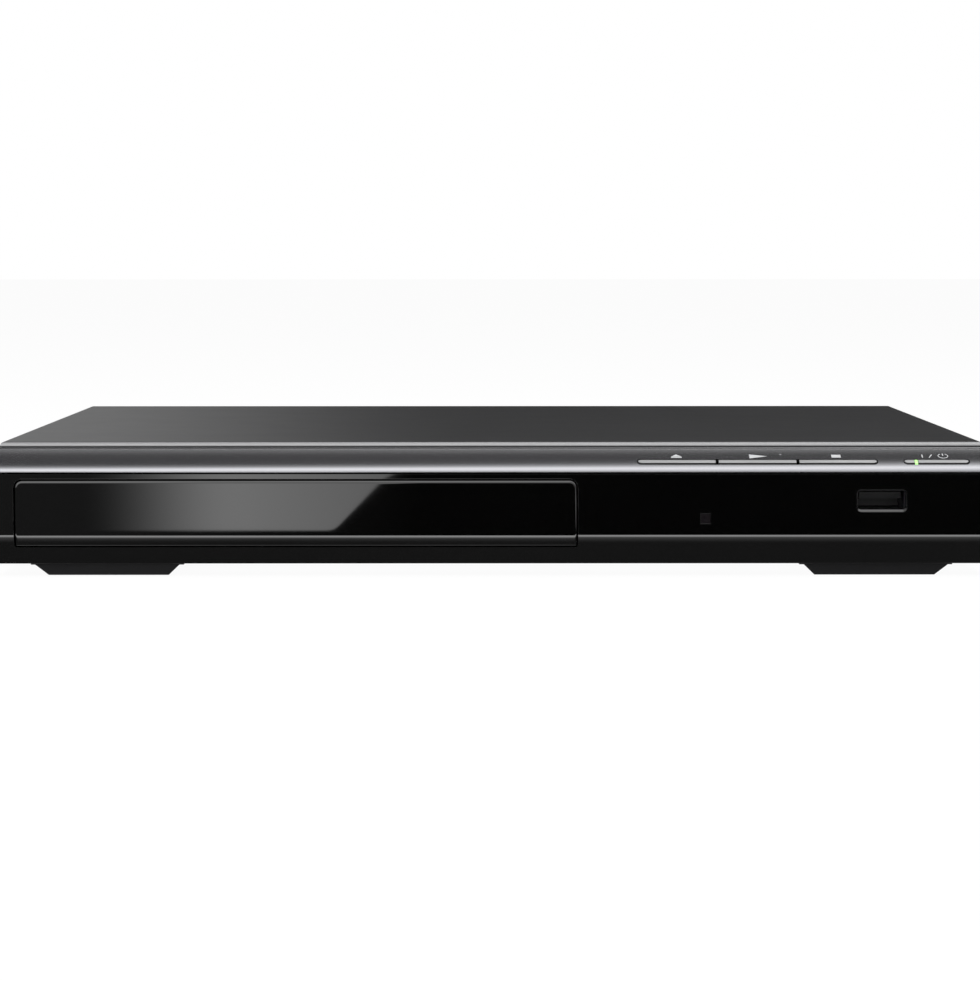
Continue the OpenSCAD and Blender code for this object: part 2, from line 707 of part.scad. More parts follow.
module loader_chassis() {
    inner = loader_x - loader_wall;
    // the opening that the traverse swings in
    open_y = [cam_y - 0.6, frame_y1 + 1.2];
    color("#1b1b1d") in_loader() difference() {
        union() {
            block([-loader_x, loader_x], [loader_y0, loader_y1], [loader_z, loader_base]);
            for (s = [-1, 1]) mirror([s < 0 ? 1 : 0, 0, 0]) {
                block([inner, loader_x], [loader_y0, loader_y1], [loader_z, tray_top + 0.4]);
                block([inner, loader_x], [bridge_y0, bridge_y1], [loader_z, bridge_z]);
                // guides above and below the tray's rail
                block([inner - guide_w, inner + 0.1], [loader_y0 + 2, loader_y1 - 2],
                    [rail_z0 - rail_play - 1.9, rail_z0 - rail_play]);
                block([inner - guide_w, inner + 0.1], [loader_y0 + 2, loader_y1 - 2],
                    [rail_z0 + rail_h + rail_play, tray_top + 0.4]);
                // ear for the traverse's hinge pin
                block([frame_x + 1.2, frame_x + 5.2], [hinge_y - 5, hinge_y + 5], [loader_base - 0.1, hinge_z + 3.6]);
            }
            block([-loader_x, loader_x], [loader_y0, loader_y0 + 2], [loader_z, wheel_z - 0.7]);
            block([-loader_x, loader_x], [loader_y1 - loader_wall_t, loader_y1], [loader_z, loader_base + 9]);
            post(drive_x, gear_y, [loader_base - 0.1, rack_z0 + 3.6], gear_post_r);
            post(pulley_x, gear_y, [loader_base - 0.1, belt_z + 2.4], gear_post_r);
            post(motor_x, gear_y, [loader_z, loader_base + 4], motor_r + 1.8);
            for (p = loader_legs) post(p[0], p[1], [z_floor, loader_base], 4);
        }
        block([-frame_x - 0.9, frame_x + 0.9], open_y, [loader_z - 1, loader_base + 0.01]);
        block([-inner + 14, inner - 14], [loader_y1 - loader_wall_t - 1, loader_y1 + 1],
            [loader_base + 3, loader_base + 10]);
        post(motor_x, gear_y, [loader_z - 1, motor_top], motor_r + 0.2);
        rod_x_axis([-loader_x, loader_x], hinge_y, hinge_z, hinge_pin_r + 0.1);
        for (p = loader_legs) post(p[0], p[1], [z_floor - 1, loader_base + 1], screw_r + 0.1);
    }
}

// Tongues of the front panel, clear of the loader
tongue_x = [-chassis_x + sheet_t + 4, door_x + loader_x + 5, 75, chassis_x - sheet_t - 8];

loader_legs = [for (s = [-1, 1], y = [loader_y0 + 12, loader_y1 - 9]) [s * (loader_x - loader_wall - 9), y]];

module clamper_bridge() {
    color("#b4b6b9") in_loader() difference() {
        union() {
            block([-loader_x, loader_x], [bridge_y0, bridge_y1], [bridge_z, bridge_z + bridge_t]);
            for (y = [bridge_y0, bridge_y1 - 1])
                block([-loader_x + 8, loader_x - 8], [y, y + 1], [bridge_z, bridge_z + 3.2]);
        }
        post(0, disc_y, [bridge_z - 1, bridge_z + 2], clamper_neck_r + 0.8);
        for (s = [-1, 1]) post(s * (loader_x - 20), disc_y, [bridge_z - 1, bridge_z + 2], 5);
    }
}

clamper_neck_r = 13.8;
clamper_low = play_z + 0.8;

module clamper_disc() {
    color("#222326") in_loader() translate([0, disc_y, 0]) difference() {
        union() {
            translate([0, 0, clamper_low]) cylinder(h = bridge_z + bridge_t - clamper_low + 0.01, r = clamper_neck_r);
            translate([0, 0, bridge_z + bridge_t]) cylinder(h = 1.2, r = clamper_neck_r + 3.4);
        }
        translate([0, 0, clamper_low - 1]) cylinder(h = hub_h + 1.4, r = hub_d / 2 + 0.8);
        translate([0, 0, clamper_low + hub_h + 0.8]) cylinder(h = 20, r = magnet_r + 0.1);
    }
}

magnet_r = 11.5;

module clamper_magnet() {
    z0 = clamper_low + hub_h + 0.8;
    color("#7d8085") in_loader() translate([0, disc_y, z0]) difference() {
        cylinder(h = 2.4, r = magnet_r);
        translate([0, 0, -1]) cylinder(h = 5, r = 3);
    }
}

module loading_motor() {
    color("#c3c5c8") in_loader() translate([motor_x, gear_y, 0]) {
        post(0, 0, [z_bot + panel_wall + 0.3, motor_top], motor_r);
        post(0, 0, [motor_top - 0.01, motor_top + 0.8], 3.2);
        post(0, 0, [motor_top, belt_z + 1.8], 1);
    }
}

// Outline of the belt about both pulleys, grown outwards
function belt_outline(grow) =
    let (d = motor_x - pulley_x, spread = acos((pulley_r - motor_pulley_r) / abs(d)))
    concat(arc([pulley_x, gear_y], pulley_r + grow, -180 + spread, 180 - spread, 24),
        arc([motor_x, gear_y], motor_pulley_r + grow, 180 - spread, 180 + spread, 12));

module drive_belt() {
    color("#0c0c0c") in_loader() translate([0, 0, belt_z - belt_t / 2]) linear_extrude(belt_t)
        difference() {
            polygon(belt_outline(belt_t / 2));
            polygon(belt_outline(-belt_t / 2));
        }
}

// A pulley whose groove clears the belt by a little
module pulley(r) {
    deep = r - belt_t / 2 - 0.08;
    rim = r + belt_t / 2 + 0.2;
    side = belt_t / 2 + 0.15;
    translate([0, 0, belt_z - side - pulley_rim]) cylinder(h = pulley_rim, r = rim);
    translate([0, 0, belt_z - side - 0.01]) cylinder(h = 2 * side + 0.02, r = deep);
    translate([0, 0, belt_z + side]) cylinder(h = pulley_rim - 0.3, r = rim);
}

module motor_pulley() {
    color("#d8d4c8") in_loader() translate([motor_x, gear_y, 0]) difference() {
        pulley(motor_pulley_r);
        post(0, 0, [0, z_top], 1.05);
    }
}

module pulley_gear() {
    color("#e3dfd2") in_loader() translate([pulley_x, gear_y, 0]) difference() {
        union() {
            pulley(pulley_r);
            translate([0, 0, wheel_z - 0.3]) rotate([0, 0, 180 / pulley_pinion_teeth])
                linear_extrude(wheel_h + 0.6) polygon(gear_outline(reduction_module, pulley_pinion_teeth));
            translate([0, 0, wheel_z]) cylinder(h = belt_z - wheel_z, r = pulley_pinion_r - 1.2 * reduction_module);
        }
        post(0, 0, [0, z_top], gear_post_r + post_play);
    }
}

module tray_drive_gear() {
    color("#ece8dc") in_loader() translate([drive_x, gear_y, 0]) difference() {
        union() {
            translate([0, 0, wheel_z]) linear_extrude(wheel_h)
                polygon(gear_outline(reduction_module, wheel_teeth));
            translate([0, 0, wheel_z + wheel_h - 0.01]) linear_extrude(rack_z0 + 3 - wheel_z - wheel_h)
                polygon(gear_outline(rack_module, pinion_teeth));
        }
        post(0, 0, [0, z_top], gear_post_r + post_play);
        for (a = [0:60:300]) rotate([0, 0, a + 30])
            translate([(pinion_teeth / 2 + 1.2) * rack_module + (wheel_r - 9) / 2, 0, wheel_z - 1])
                cylinder(h = wheel_h + 0.9, r = min(1.4, (wheel_r - 9) / 3));
    }
}

// ---- tray ----

module tray_slot(z) {
    post(0, disc_y, z, slot_front_r);
    block([-slot_front_r, slot_front_r], [disc_y, disc_y + slot_front_r], z);
    block([-slot_w / 2, slot_w / 2], [disc_y + 12, slot_end], z);
}

module disc_tray() {
    w = tray_w / 2;
    low = small_floor - tray_wall;
    skirt = tray_top - 5;
    bowl_r = disc_d / 2 + tray_wall;
    color("#232325") in_loader() difference() {
        union() {
            block([-w, w], [tray_y0, tray_y1], [tray_top - 2, tray_top]);
            // bowls under the two recesses
            intersection() {
                post(0, disc_y, [disc_floor - tray_wall, tray_top], bowl_r);
                block([-w, w], [tray_y0, tray_y1], [0, z_top]);
            }
            post(0, disc_y, [low, tray_top], small_disc_d / 2 + tray_wall);
            // skirts, front beam and rear bar
            for (s = [-1, 1]) block([min(s * w, s * (w - 2)), max(s * w, s * (w - 2))], [tray_y0, tray_y1], [skirt, tray_top]);
            block([-w, w], [tray_y0, tray_y0 + 2.4], [tray_top - 9, tray_top]);
            for (s = [-1, 0, 1]) block([s * 50 - 1, s * 50 + 1], [tray_y0 + 2, tray_y0 + 8], [tray_top - 8, tray_top - 1]);
            block([-w, w], [slot_end, tray_y1], [tray_top - rear_bridge_t, tray_top]);
            // side rails
            for (s = [-1, 1])
                block([min(s * (w - 1), s * (w + rail_w)), max(s * (w - 1), s * (w + rail_w))],
                    [loader_y0 + 0.5, tray_y1], [rail_z0, rail_z0 + rail_h]);
            // rack under the right side
            translate([rack_x, 0, rack_z0]) linear_extrude(tray_top - 1 - rack_z0)
                polygon(rack_outline(rack_module, tray_y0 + 8, tray_y1, gear_y, rack_back));
        }
        post(0, disc_y, [disc_floor, z_top], disc_d / 2);
        post(0, disc_y, [small_floor, z_top], small_disc_d / 2);
        tray_slot([0, z_top]);
        // finger scallops in front of the recess
        for (a = [-1, 1]) post(a * 45, disc_y - 47, [disc_floor, z_top], 12);
    }
}

module tray_door() {
    color("#101011") intersection() {
        panel_skin([door_x - door_w / 2 - 1, door_x + door_w / 2 + 1]);
        door_window(0);
    }
}

// ---- traverse and pickup ----

module traverse_frame() {
    color("#1f2022") in_loader() tilt() difference() {
        union() {
            difference() {
                block([-frame_x, frame_x], [frame_y0, frame_y1], [frame_z0, frame_z1]);
                block([-frame_x + frame_bar, frame_x - frame_bar], [frame_y0 + frame_bar, frame_y1 - 5],
                    [frame_z0 - 1, frame_z1 + 1]);
            }
            // lugs under the dampers
            for (s = [-1, 1], y = [damper_y0, damper_y1])
                block([min(s * (damper_x - 5), s * (frame_x - 1)), max(s * (damper_x - 5), s * (frame_x - 1))],
                    [y - 5, y + 5], [frame_z0, lug_z1]);
            rod_x_axis([-frame_x - 4.6, -frame_x + 2], hinge_y, hinge_z, hinge_pin_r);
            rod_x_axis([frame_x - 2, frame_x + 4.6], hinge_y, hinge_z, hinge_pin_r);
            for (s = [-1, 1])
                rod_y(s * lift_pin_x, [frame_y0 - lift_pin_l, frame_y0 + 2], hinge_z, lift_pin_r);
        }
        for (s = [-1, 1], y = [damper_y0, damper_y1]) post(s * damper_x, y, [frame_z0 - 1, lug_z1 + 1], 1.2);
    }
}

module cam_slider() {
    x0 = -lift_pin_x - cam_travel - 5;
    x1 = lift_pin_x + 5;
    r = lift_pin_r + pin_play;
    rise = hinge_z - pin_low;
    way = norm([cam_travel, rise]);
    y = [cam_y, cam_y + cam_t];
    color("#d9d6cc") in_loader() difference() {
        union() {
            block([x0, x1], y, [z_floor + 0.4, hinge_z + r + 1.2]);
            // foot that runs on the loader's base
            block([x0, x1], [y[0] - 3, y[0] + 0.01], [loader_base + 0.1, loader_base + 1.3]);
        }
        for (s = [-1, 1]) translate([s * lift_pin_x, 0, pin_low]) {
            rod_y(0, [y[0] - 1, y[1] + 1], 0, r);
            rod_y(-cam_travel, [y[0] - 1, y[1] + 1], rise, r);
            rotate([0, 180 + atan(rise / cam_travel), 0]) block([0, way], [y[0] - 1, y[1] + 1], [-r, r]);
        }
    }
}

module mechanism_deck() {
    color("#b9bcc0") in_loader() tilt() difference() {
        union() {
            block([-deck_x, deck_x], [deck_y0, deck_y1], [deck_z, deck_z + deck_t]);
            // blocks that hold the rods' ends
            for (s = [-1, 1], y = [rod_y0, rod_y1 - 3])
                block([s * rod_x - 2.6, s * rod_x + 2.6], [y, y + 3], [rod_z - rod_r - 0.8, deck_z + 0.01]);
        }
        block([-pickup_x - 1.5, pickup_x + 1.5], [disc_y + turntable_d / 2 - 1, rod_y1 - 3],
            [deck_z - 0.01, deck_z + 2]);
        post(0, disc_y, [deck_z - 1, deck_z + 2], 5);
        for (s = [-1, 1]) rod_y(s * rod_x, [rod_y0 - 1, rod_y1 + 1], rod_z, rod_r + 0.02);
        for (s = [-1, 1], y = [damper_y0, damper_y1]) post(s * damper_x, y, [deck_z - 1, deck_z + 2], 1.2);
    }
}

rod_y0 = disc_y + turntable_d / 2 - 4;
rod_y1 = deck_y1 - 0.2;

module deck_dampers() {
    color("#4a3a3f") in_loader() tilt() for (s = [-1, 1], y = [damper_y0, damper_y1]) difference() {
        post(s * damper_x, y, [lug_z1, deck_z], 4);
        post(s * damper_x, y, [lug_z1 - 1, deck_z + 1], 1.2);
    }
}

module guide_rods() {
    color("#d5d7da") in_loader() tilt() for (s = [-1, 1]) rod_y(s * rod_x, [rod_y0, rod_y1], rod_z, rod_r);
}

module spindle_motor() {
    color("#c9cbce") in_loader() tilt() difference() {
        union() {
            post(0, disc_y, [deck_z - 4.2, deck_z], spindle_motor_d / 2);
            post(0, disc_y, [deck_z - 0.01, deck_z + 1.4], 4.6);
        }
        post(0, disc_y, [deck_z - 3, deck_z + 2], 1.1);
    }
}

module turntable() {
    z0 = deck_z + 1.9;
    color("#2c2d30") in_loader() tilt() translate([0, disc_y, 0]) {
        difference() {
            union() {
                translate([0, 0, z0]) cylinder(h = play_z - z0, r = turntable_d / 2);
                translate([0, 0, play_z - 0.01]) cylinder(h = 1.2, r = hub_d / 2);
                translate([0, 0, play_z + 1.18]) cylinder(h = hub_h - 1.18, r1 = hub_d / 2, r2 = hub_d / 2 - 2);
            }
            translate([0, 0, play_z - 0.3]) difference() {
                cylinder(h = 1, r = hub_d / 2 + 3.4);
                translate([0, 0, -1]) cylinder(h = 3, r = hub_d / 2 + 0.6);
            }
        }
        translate([0, 0, deck_z - 2.9]) cylinder(h = z0 - deck_z + 3, r = 1);
    }
}

module sled_motor() {
    color("#c3c5c8") in_loader() tilt() {
        post(sled_motor_x, sled_motor_y, [deck_z - 4.4, deck_z], sled_motor_r);
        post(sled_motor_x, sled_motor_y, [deck_z - 6.3, deck_z - 4.39], 0.6);
        // pin that the sled gear turns on
        post(sled_gear_x, sled_gear_y, [deck_z - 6.2, deck_z], 1);
    }
}

module sled_motor_pinion() {
    color("#d9b45a") in_loader() tilt() translate([sled_motor_x, sled_motor_y, deck_z - 6.2]) difference() {
        rotate([0, 0, mesh_turn(sled_way, sled_wheel_teeth, sled_pinion_teeth)])
            linear_extrude(1.7) polygon(gear_outline(sled_wheel_module, sled_pinion_teeth, 0.8));
        post(0, 0, [-1, 3], 0.65);
    }
}

module sled_gear() {
    color("#ece8dc") in_loader() tilt() translate([sled_gear_x, sled_gear_y, 0]) difference() {
        union() {
            translate([0, 0, deck_z - 6]) linear_extrude(1.4)
                polygon(gear_outline(sled_wheel_module, sled_wheel_teeth, 0.8));
            translate([0, 0, deck_z - 4.61]) linear_extrude(3.4) polygon(gear_outline(sled_module, sled_teeth));
        }
        post(0, 0, [0, z_top], 1.08);
    }
}

module pickup_body() {
    y0 = lens_y - pickup_front;
    y1 = lens_y + pickup_back;
    rack_half = pickup_travel / 2 + 2.5;
    color("#33353a") in_loader() tilt() difference() {
        union() {
            block([-pickup_x + 0.4, pickup_x - 0.6], [y0, y1], [pickup_z0, pickup_z1 - 2]);
            block([-13, 13], [y0, y1], [pickup_z0, pickup_z1]);
            // rack with its teeth towards the sled gear
            translate([sled_rack_x, 0, deck_z - 4.3]) mirror([1, 0, 0]) linear_extrude(2.6)
                polygon(rack_outline(sled_module, lens_y - rack_half, lens_y + rack_half, sled_gear_y, 2.2));
            block([pickup_x - 2, sled_rack_x - 1.2], [lens_y - 6, lens_y + 14], [deck_z - 4.3, deck_z - 1.7]);
        }
        for (s = [-1, 1]) rod_y(s * rod_x, [y0 - 1, y1 + 1], rod_z, rod_r + rod_play);
        // the second rod runs in a slot that is open to the side
        block([-pickup_x - 1, -rod_x], [y0 - 1, y1 + 1], [rod_z - rod_r - rod_play, rod_z + rod_r + rod_play]);
        post(0, lens_y, [pickup_z1 - 3, pickup_z1 + 1], 4.6);
    }
}

module objective_lens() {
    color("#54708f") in_loader() tilt() {
        post(0, lens_y, [pickup_z1 - 2.2, pickup_z1 + 2], 4);
        post(0, lens_y, [pickup_z1 + 1.99, play_z - 1.3], 2.4);
    }
}

// ---- keys and front board ----

// A key with a flange that keeps it in its slot, and the switch plunger that it rests on
module key(x0, w) {
    y = [y_front + key_setback, y_front + key_setback + key_t];
    along_x([x0, x0 + w])
        polygon([[y[0], z_flange + 0.7], [y[0], nose_height(key_setback) + key_proud],
            [y[1], nose_height(key_setback + key_t) + key_proud], [y[1], z_flange + 0.7]]);
    block([x0 + 0.6, x0 + w - 0.6], [y[0] + 0.4, y_front + flange_end], [z_flange, z_flange + flange_t]);
    post(x0 + w / 2, y_front + switch_setback, [switch_top - 0.9, z_flange], plunger_r);
}

module eject_button() {
    color("#a7a8ab") key(keys_x, key_w);
}

module play_button() {
    color("#a7a8ab") key(keys_x + key_pitch, key_w);
}

module stop_button() {
    color("#a7a8ab") key(keys_x + 2 * key_pitch, key_w);
}

module light_space(z0, z1) {
    x = power_key_x + light_inset;
    block([x, x + light_w], [y_front + key_setback - 0.01, y_front + key_setback + key_t + 0.01], [z0, z1]);
}

module power_button() {
    color("#a7a8ab") difference() {
        key(power_key_x, power_key_w);
        light_space(z_flange - 1, z_top);
    }
}

module power_light_pipe() {
    color("#9be65a") intersection() {
        key(power_key_x, power_key_w);
        light_space(z_flange, z_top);
    }
}

switch_x = [for (i = [0:2]) keys_x + i * key_pitch + key_w / 2, power_key_x + power_key_w / 2];

module switch_bodies() {
    color("#3a3b3f") for (x = switch_x) difference() {
        block([x - switch_w / 2, x + switch_w / 2],
            [y_front + switch_setback - 3, y_front + switch_setback + 3], [board_z1, switch_top]);
        post(x, y_front + switch_setback, [switch_top - 1.6, switch_top + 1], plunger_r + 0.1);
    }
}

module front_board() {
    color("#2f6b3c") block([front_board_x0, front_board_x1], [y_front + panel_wall + 0.6, y_front + 17],
        [board_z0, board_z1]);
}

module power_led() {
    x = power_key_x + light_inset + light_w / 2;
    y = y_front + key_setback + 1.4;
    color("#dfeecb") block([x - 0.8, x + 0.8], [y - 0.6, y + 0.6], [board_z1, board_z1 + 1]);
}

module ir_receiver() {
    z = z_sensor;
    y = y_front + panel_wall + 0.4;
    color("#1d1d20") {
        block([sensor_x - 2.8, sensor_x + 2.8], [y, y + 3], [z - 2.8, z + 3.2]);
        for (i = [-1:1]) block([sensor_x + i * 1.8 - 0.25, sensor_x + i * 1.8 + 0.25], [y + 1.2, y + 1.7],
            [z + 3.19, board_z0]);
    }
}

module data_socket() {
    w = 13.1;
    h = 5.72;
    t = 0.3;
    y = [y_front + panel_wall + 0.2, y_front + 16];
    color("#c9cbce") difference() {
        along_y(y) polygon(rounded([port_x, z_bot + port_z], w, h, 0.5, 0.5));
        along_y([y[0] - 1, y[1] - t])
            polygon(rounded([port_x, z_bot + port_z], w - 2 * t, h - 2 * t, 0.2, 0.2));
    }
}

module socket_tongues() {
    color("#0f0f10") {
        // data socket: a tongue above the middle
        block([port_x - 5.7, port_x + 5.7], [y_front + panel_wall + 2.4, y_front + 15.7],
            [z_bot + port_z + 0.3, z_bot + port_z + 2.1]);
        block([port_x - 6.1, port_x + 6.1], [y_front + 13.5, y_front + 15.7],
            [z_bot + port_z - 2.4, z_bot + port_z + 2.4]);
        // display socket: a thin tongue in the middle
        block([display_x - 5.6, display_x + 5.6], [y_panel - 9.6, y_panel - 0.4],
            [board_top + 2.6, board_top + 3.4]);
        block([display_x - 6.6, display_x + 6.6], [y_panel - 9.6, y_panel - 7.6],
            [board_top + 2.2, board_top + 5.1]);
    }
}

// ---- rear sockets and boards ----

module display_shell(grow, y) {
    w = 15 + 2 * grow;
    h = 5.6 + 2 * grow;
    z = board_top + 3;
    along_y(y) polygon([[display_x - w / 2, z + h / 2], [display_x - w / 2, z - h / 2 + 2],
        [display_x - w / 2 + 1.6, z - h / 2], [display_x + w / 2 - 1.6, z - h / 2],
        [display_x + w / 2, z - h / 2 + 2], [display_x + w / 2, z + h / 2]]);
}

module display_socket() {
    t = 0.4;
    y = [y_panel - 10, y_panel + 0.6];
    color("#c9cbce") {
        difference() {
            display_shell(0, y);
            display_shell(-t, [y[0] + t, y[1] + 1]);
        }
        for (s = [-1, 1]) block([display_x + s * 5.5 - 0.5, display_x + s * 5.5 + 0.5], [y[0] + 1, y[0] + 5],
            [board_top, board_top + 0.4]);
    }
}

module jack_block() {
    x0 = jack_x - jack_pitch / 2;
    color("#1b1b1d") difference() {
        block([x0, x0 + jack_count * jack_pitch], [jack_root - 4, y_panel - sheet_t - 0.2], [board_top, z_jack + 7]);
        for (k = [0:jack_count - 1])
            rod_y(jack_x + k * jack_pitch, [jack_root - 0.01, y_back], z_jack, jack_root_r + 0.02);
    }
}

module jack_barrels() {
    color("#d9dbde") for (k = [0:jack_count - 1]) difference() {
        union() {
            rod_y(jack_x + k * jack_pitch, [jack_root, y_panel + 1.41], z_jack, jack_root_r);
            rod_y(jack_x + k * jack_pitch, [y_panel + 1.4, jack_end], z_jack, jack_r);
        }
        rod_y(jack_x + k * jack_pitch, [jack_root - 1, jack_end + 1], z_jack, jack_r - jack_wall);
    }
}

// Plastic core of each socket with its centre contact's bore, and the coloured collar at its root
module jack_cores() {
    color("#e7e4da") for (k = [0:jack_count - 1]) {
        x = jack_x + k * jack_pitch;
        difference() {
            rod_y(x, [jack_root, jack_end - 1.5], z_jack, jack_r - jack_wall - 0.02);
            rod_y(x, [jack_root - 1, jack_end], z_jack, jack_bore_r);
        }
        difference() {
            rod_y(x, [y_panel - sheet_t - 0.2, y_panel + 1.4], z_jack, jack_collar_r);
            rod_y(x, [y_panel - 3, y_panel + 3], z_jack, jack_root_r + 0.02);
        }
    }
}

inlet_pin_r = 1.19;
inlet_pin_x = 4.3;
inlet_recess_r = 4.35;
inlet_recess_x = 3.75;
inlet_depth = 11;

module mains_inlet() {
    face = y_panel + 1.5;
    color("#161618") difference() {
        union() {
            along_y([y_panel, face]) polygon(rounded([inlet_x, z_jack], 24, 15.5, 2, 2));
            along_y([face - 15, y_panel + 0.1]) polygon(rounded([inlet_x, z_jack], 20, 12, 1, 1));
            block([inlet_x - 9, inlet_x + 9], [face - 14, face - 5], [board_top, z_jack]);
        }
        for (s = [-1, 1]) rod_y(inlet_x + s * inlet_recess_x, [face - inlet_depth, face + 1], z_jack, inlet_recess_r);
        block([inlet_x - inlet_recess_x, inlet_x + inlet_recess_x], [face - inlet_depth, face + 1],
            [z_jack - inlet_recess_r, z_jack + inlet_recess_r]);
        for (s = [-1, 1]) rod_y(inlet_x + s * inlet_pin_x, [face - 20, face], z_jack, inlet_pin_r + 0.02);
    }
}

module inlet_pins() {
    color("#cfc6a0") for (s = [-1, 1])
        rod_y(inlet_x + s * inlet_pin_x, [y_panel - 16, y_panel + 1.5 - 2], z_jack, inlet_pin_r);
}

module main_board() {
    color("#2f6b3c") difference() {
        block([main_x0, main_x1], [main_y0, main_y1], [board_z, board_top]);
        for (p = main_posts) post(p[0], p[1], [board_z - 1, board_top + 1], screw_r + 0.1);
    }
}

module power_board() {
    color("#8c6b3a") difference() {
        block([power_x0, power_x1], [power_y0, power_y1], [board_z, board_top]);
        for (p = power_posts) post(p[0], p[1], [board_z - 1, board_top + 1], screw_r + 0.1);
    }
}

module board_screws() {
    color("#9a9da1") {
        for (p = board_posts) board_screw(p, board_top, z_floor + 0.6);
        in_loader() for (p = loader_legs) board_screw(p, loader_base, z_floor + 0.1);
    }
}

// A pan head on a shank that ends at the height low
module board_screw(p, seat, low) {
    post(p[0], p[1], [seat, seat + 1.6], 2.7);
    post(p[0], p[1], [low, seat + 0.01], screw_r - 0.1);
}

// Chips and connectors on the main board, each as [x, y, width, depth, height].
// x counts from the board's middle. A y above 0 counts from its front edge, and one below 0 from its rear edge.
chips = [[-22, 46, 20, 20, 1.6], [4, 60, 12, 8, 1.4], [-22, 76, 10, 12, 1.4], [12, 40, 9, 9, 1.2],
    [14, -42, 7, 6, 1.4], [-8, 3, 14, 5, 3]];
// The same for the connectors at its left edge, from which their x counts
side_connectors = [[2.2, 20, 6, 22, 3], [3, -11.5, 6, 9, 5]];
connector_h = 3;

function main_y(y) = y < 0 ? main_y1 + y : main_y0 + y;

module board_chip(x, c) {
    block([x + c[0], x + c[0] + c[2]], [main_y(c[1]), main_y(c[1]) + c[3]], [board_top, board_top + c[4]]);
}

module board_chips() {
    color("#202124") {
        for (c = chips) board_chip(main_x, c);
        for (c = side_connectors) board_chip(main_x0, c);
    }
}

// Upright cans as [x, y, radius, height], first on the power board and then on the main board
power_cans = [[39, 12, 7, 20], [90, 6, 4, 13], [100, 6, 4, 13], [95, 15, 4, 12]];
main_cans = [[-2, -24, 3.2, 8], [20, -26, 3.2, 8], [30, 70, 2.6, 7], [30, 60, 2.6, 7], [-33, 62, 2.6, 7], [30, 20, 3.2, 8]];

module board_capacitors() {
    color("#23324a") {
        for (c = power_cans) post(power_x0 + c[0], power_y0 + c[1], [board_top, board_top + c[3]], c[2]);
        for (c = main_cans) post(main_x + c[0], main_y(c[1]), [board_top, board_top + c[3]], c[2]);
    }
}

module power_transformer() {
    x = power_x0 + 66;
    y = (power_y0 + power_y1) / 2;
    color("#c7a04a") {
        block([x - 11, x + 11], [y - 4, y + 4], [board_top, board_top + 17]);
        block([x - 7, x + 7], [y - 9, y + 9], [board_top + 3, board_top + 14]);
        block([x - 11, x + 11], [y - 9, y + 9], [board_top, board_top + 3]);
    }
}

// ---- flat cables ----

// A flat strip whose line is a list of points in one plane, as a polygon of even thickness
function strip(p, t) = let (n = len(p) - 1,
        way = [for (i = [0:n]) let (d = p[min(i + 1, n)] - p[max(i - 1, 0)]) [-d[1], d[0]] / norm(d)])
    concat([for (i = [0:n]) p[i] + way[i] * t / 2], [for (i = [n:-1:0]) p[i] - way[i] * t / 2]);

module loader_ribbon() {
    x0 = main_x0 - 7;
    connector = board_top + connector_h;
    y = [main_y0 + 22, main_y0 + 40];
    color("#e9e7df") along_y(y)
        polygon(strip([[x0 - 2, loader_z - 0.5], [x0 + 2, loader_z - 0.5], [x0 + 4, loader_z + 2],
            [x0 + 5.4, connector + 2], [main_x0 + 1.6, connector + 4], [main_x0 + 4.4, connector + 3.4],
            [main_x0 + 5, connector + 2], [main_x0 + 5, connector + 0.05]], 0.3));
}

module front_ribbon() {
    x = [main_x - 6, main_x + 4];
    connector = board_top + connector_h;
    color("#e9e7df") along_x(x)
        polygon(strip([[y_front + 15, board_z0 - 0.16], [y_front + 19, board_z0 - 0.16], [y_front + 24, board_z0 - 3],
            [main_y0 - 8, connector + 6], [main_y0 + 1, connector + 6], [main_y0 + 4.6, connector + 4.4],
            [main_y0 + 5.5, connector + 2], [main_y0 + 5.5, connector + 0.05]], 0.3));
}

module power_harness() {
    y = [main_y1 - 11, main_y1 - 3];
    color("#c8453a") along_y(y)
        polygon(strip([[power_x1 - 6, board_top + 0.65], [power_x1 - 2, board_top + 0.65],
            [power_x1 + 4, board_top + 8], [main_x0 - 6, board_top + 10], [main_x0 + 3, board_top + 9.4],
            [main_x0 + 6, board_top + 7.5], [main_x0 + 6, board_top + 5.05]], 1.2));
}

bottom_chassis();
rear_panel();
top_cover();
cover_screws();
front_bezel();
nose_trim();
sensor_window();
feet();
foot_pads();
loader_chassis();
clamper_bridge();
loading_motor();
drive_belt();
main_board();
board_chips();
board_capacitors();
power_board();
power_transformer();
mains_inlet();
inlet_pins();
display_socket();
socket_tongues();
jack_block();
jack_barrels();
jack_cores();
front_board();
switch_bodies();
ir_receiver();
power_led();
data_socket();
loader_ribbon();
front_ribbon();
power_harness();
board_screws();
disc_tray();
tray_door();
tray_drive_gear();
pulley_gear();
motor_pulley();
cam_slider();
traverse_frame();
mechanism_deck();
deck_dampers();
guide_rods();
spindle_motor();
sled_motor();
sled_gear();
sled_motor_pinion();
pickup_body();
objective_lens();
turntable();
clamper_disc();
clamper_magnet();
eject_button();
play_button();
stop_button();
power_button();
power_light_pipe();
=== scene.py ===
"""A slim disc player with a motor-driven tray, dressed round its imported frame.

Metres. X runs along the front, -Y faces the user, +Z is up, and Z = 0 is the shelf that it stands on.
"""

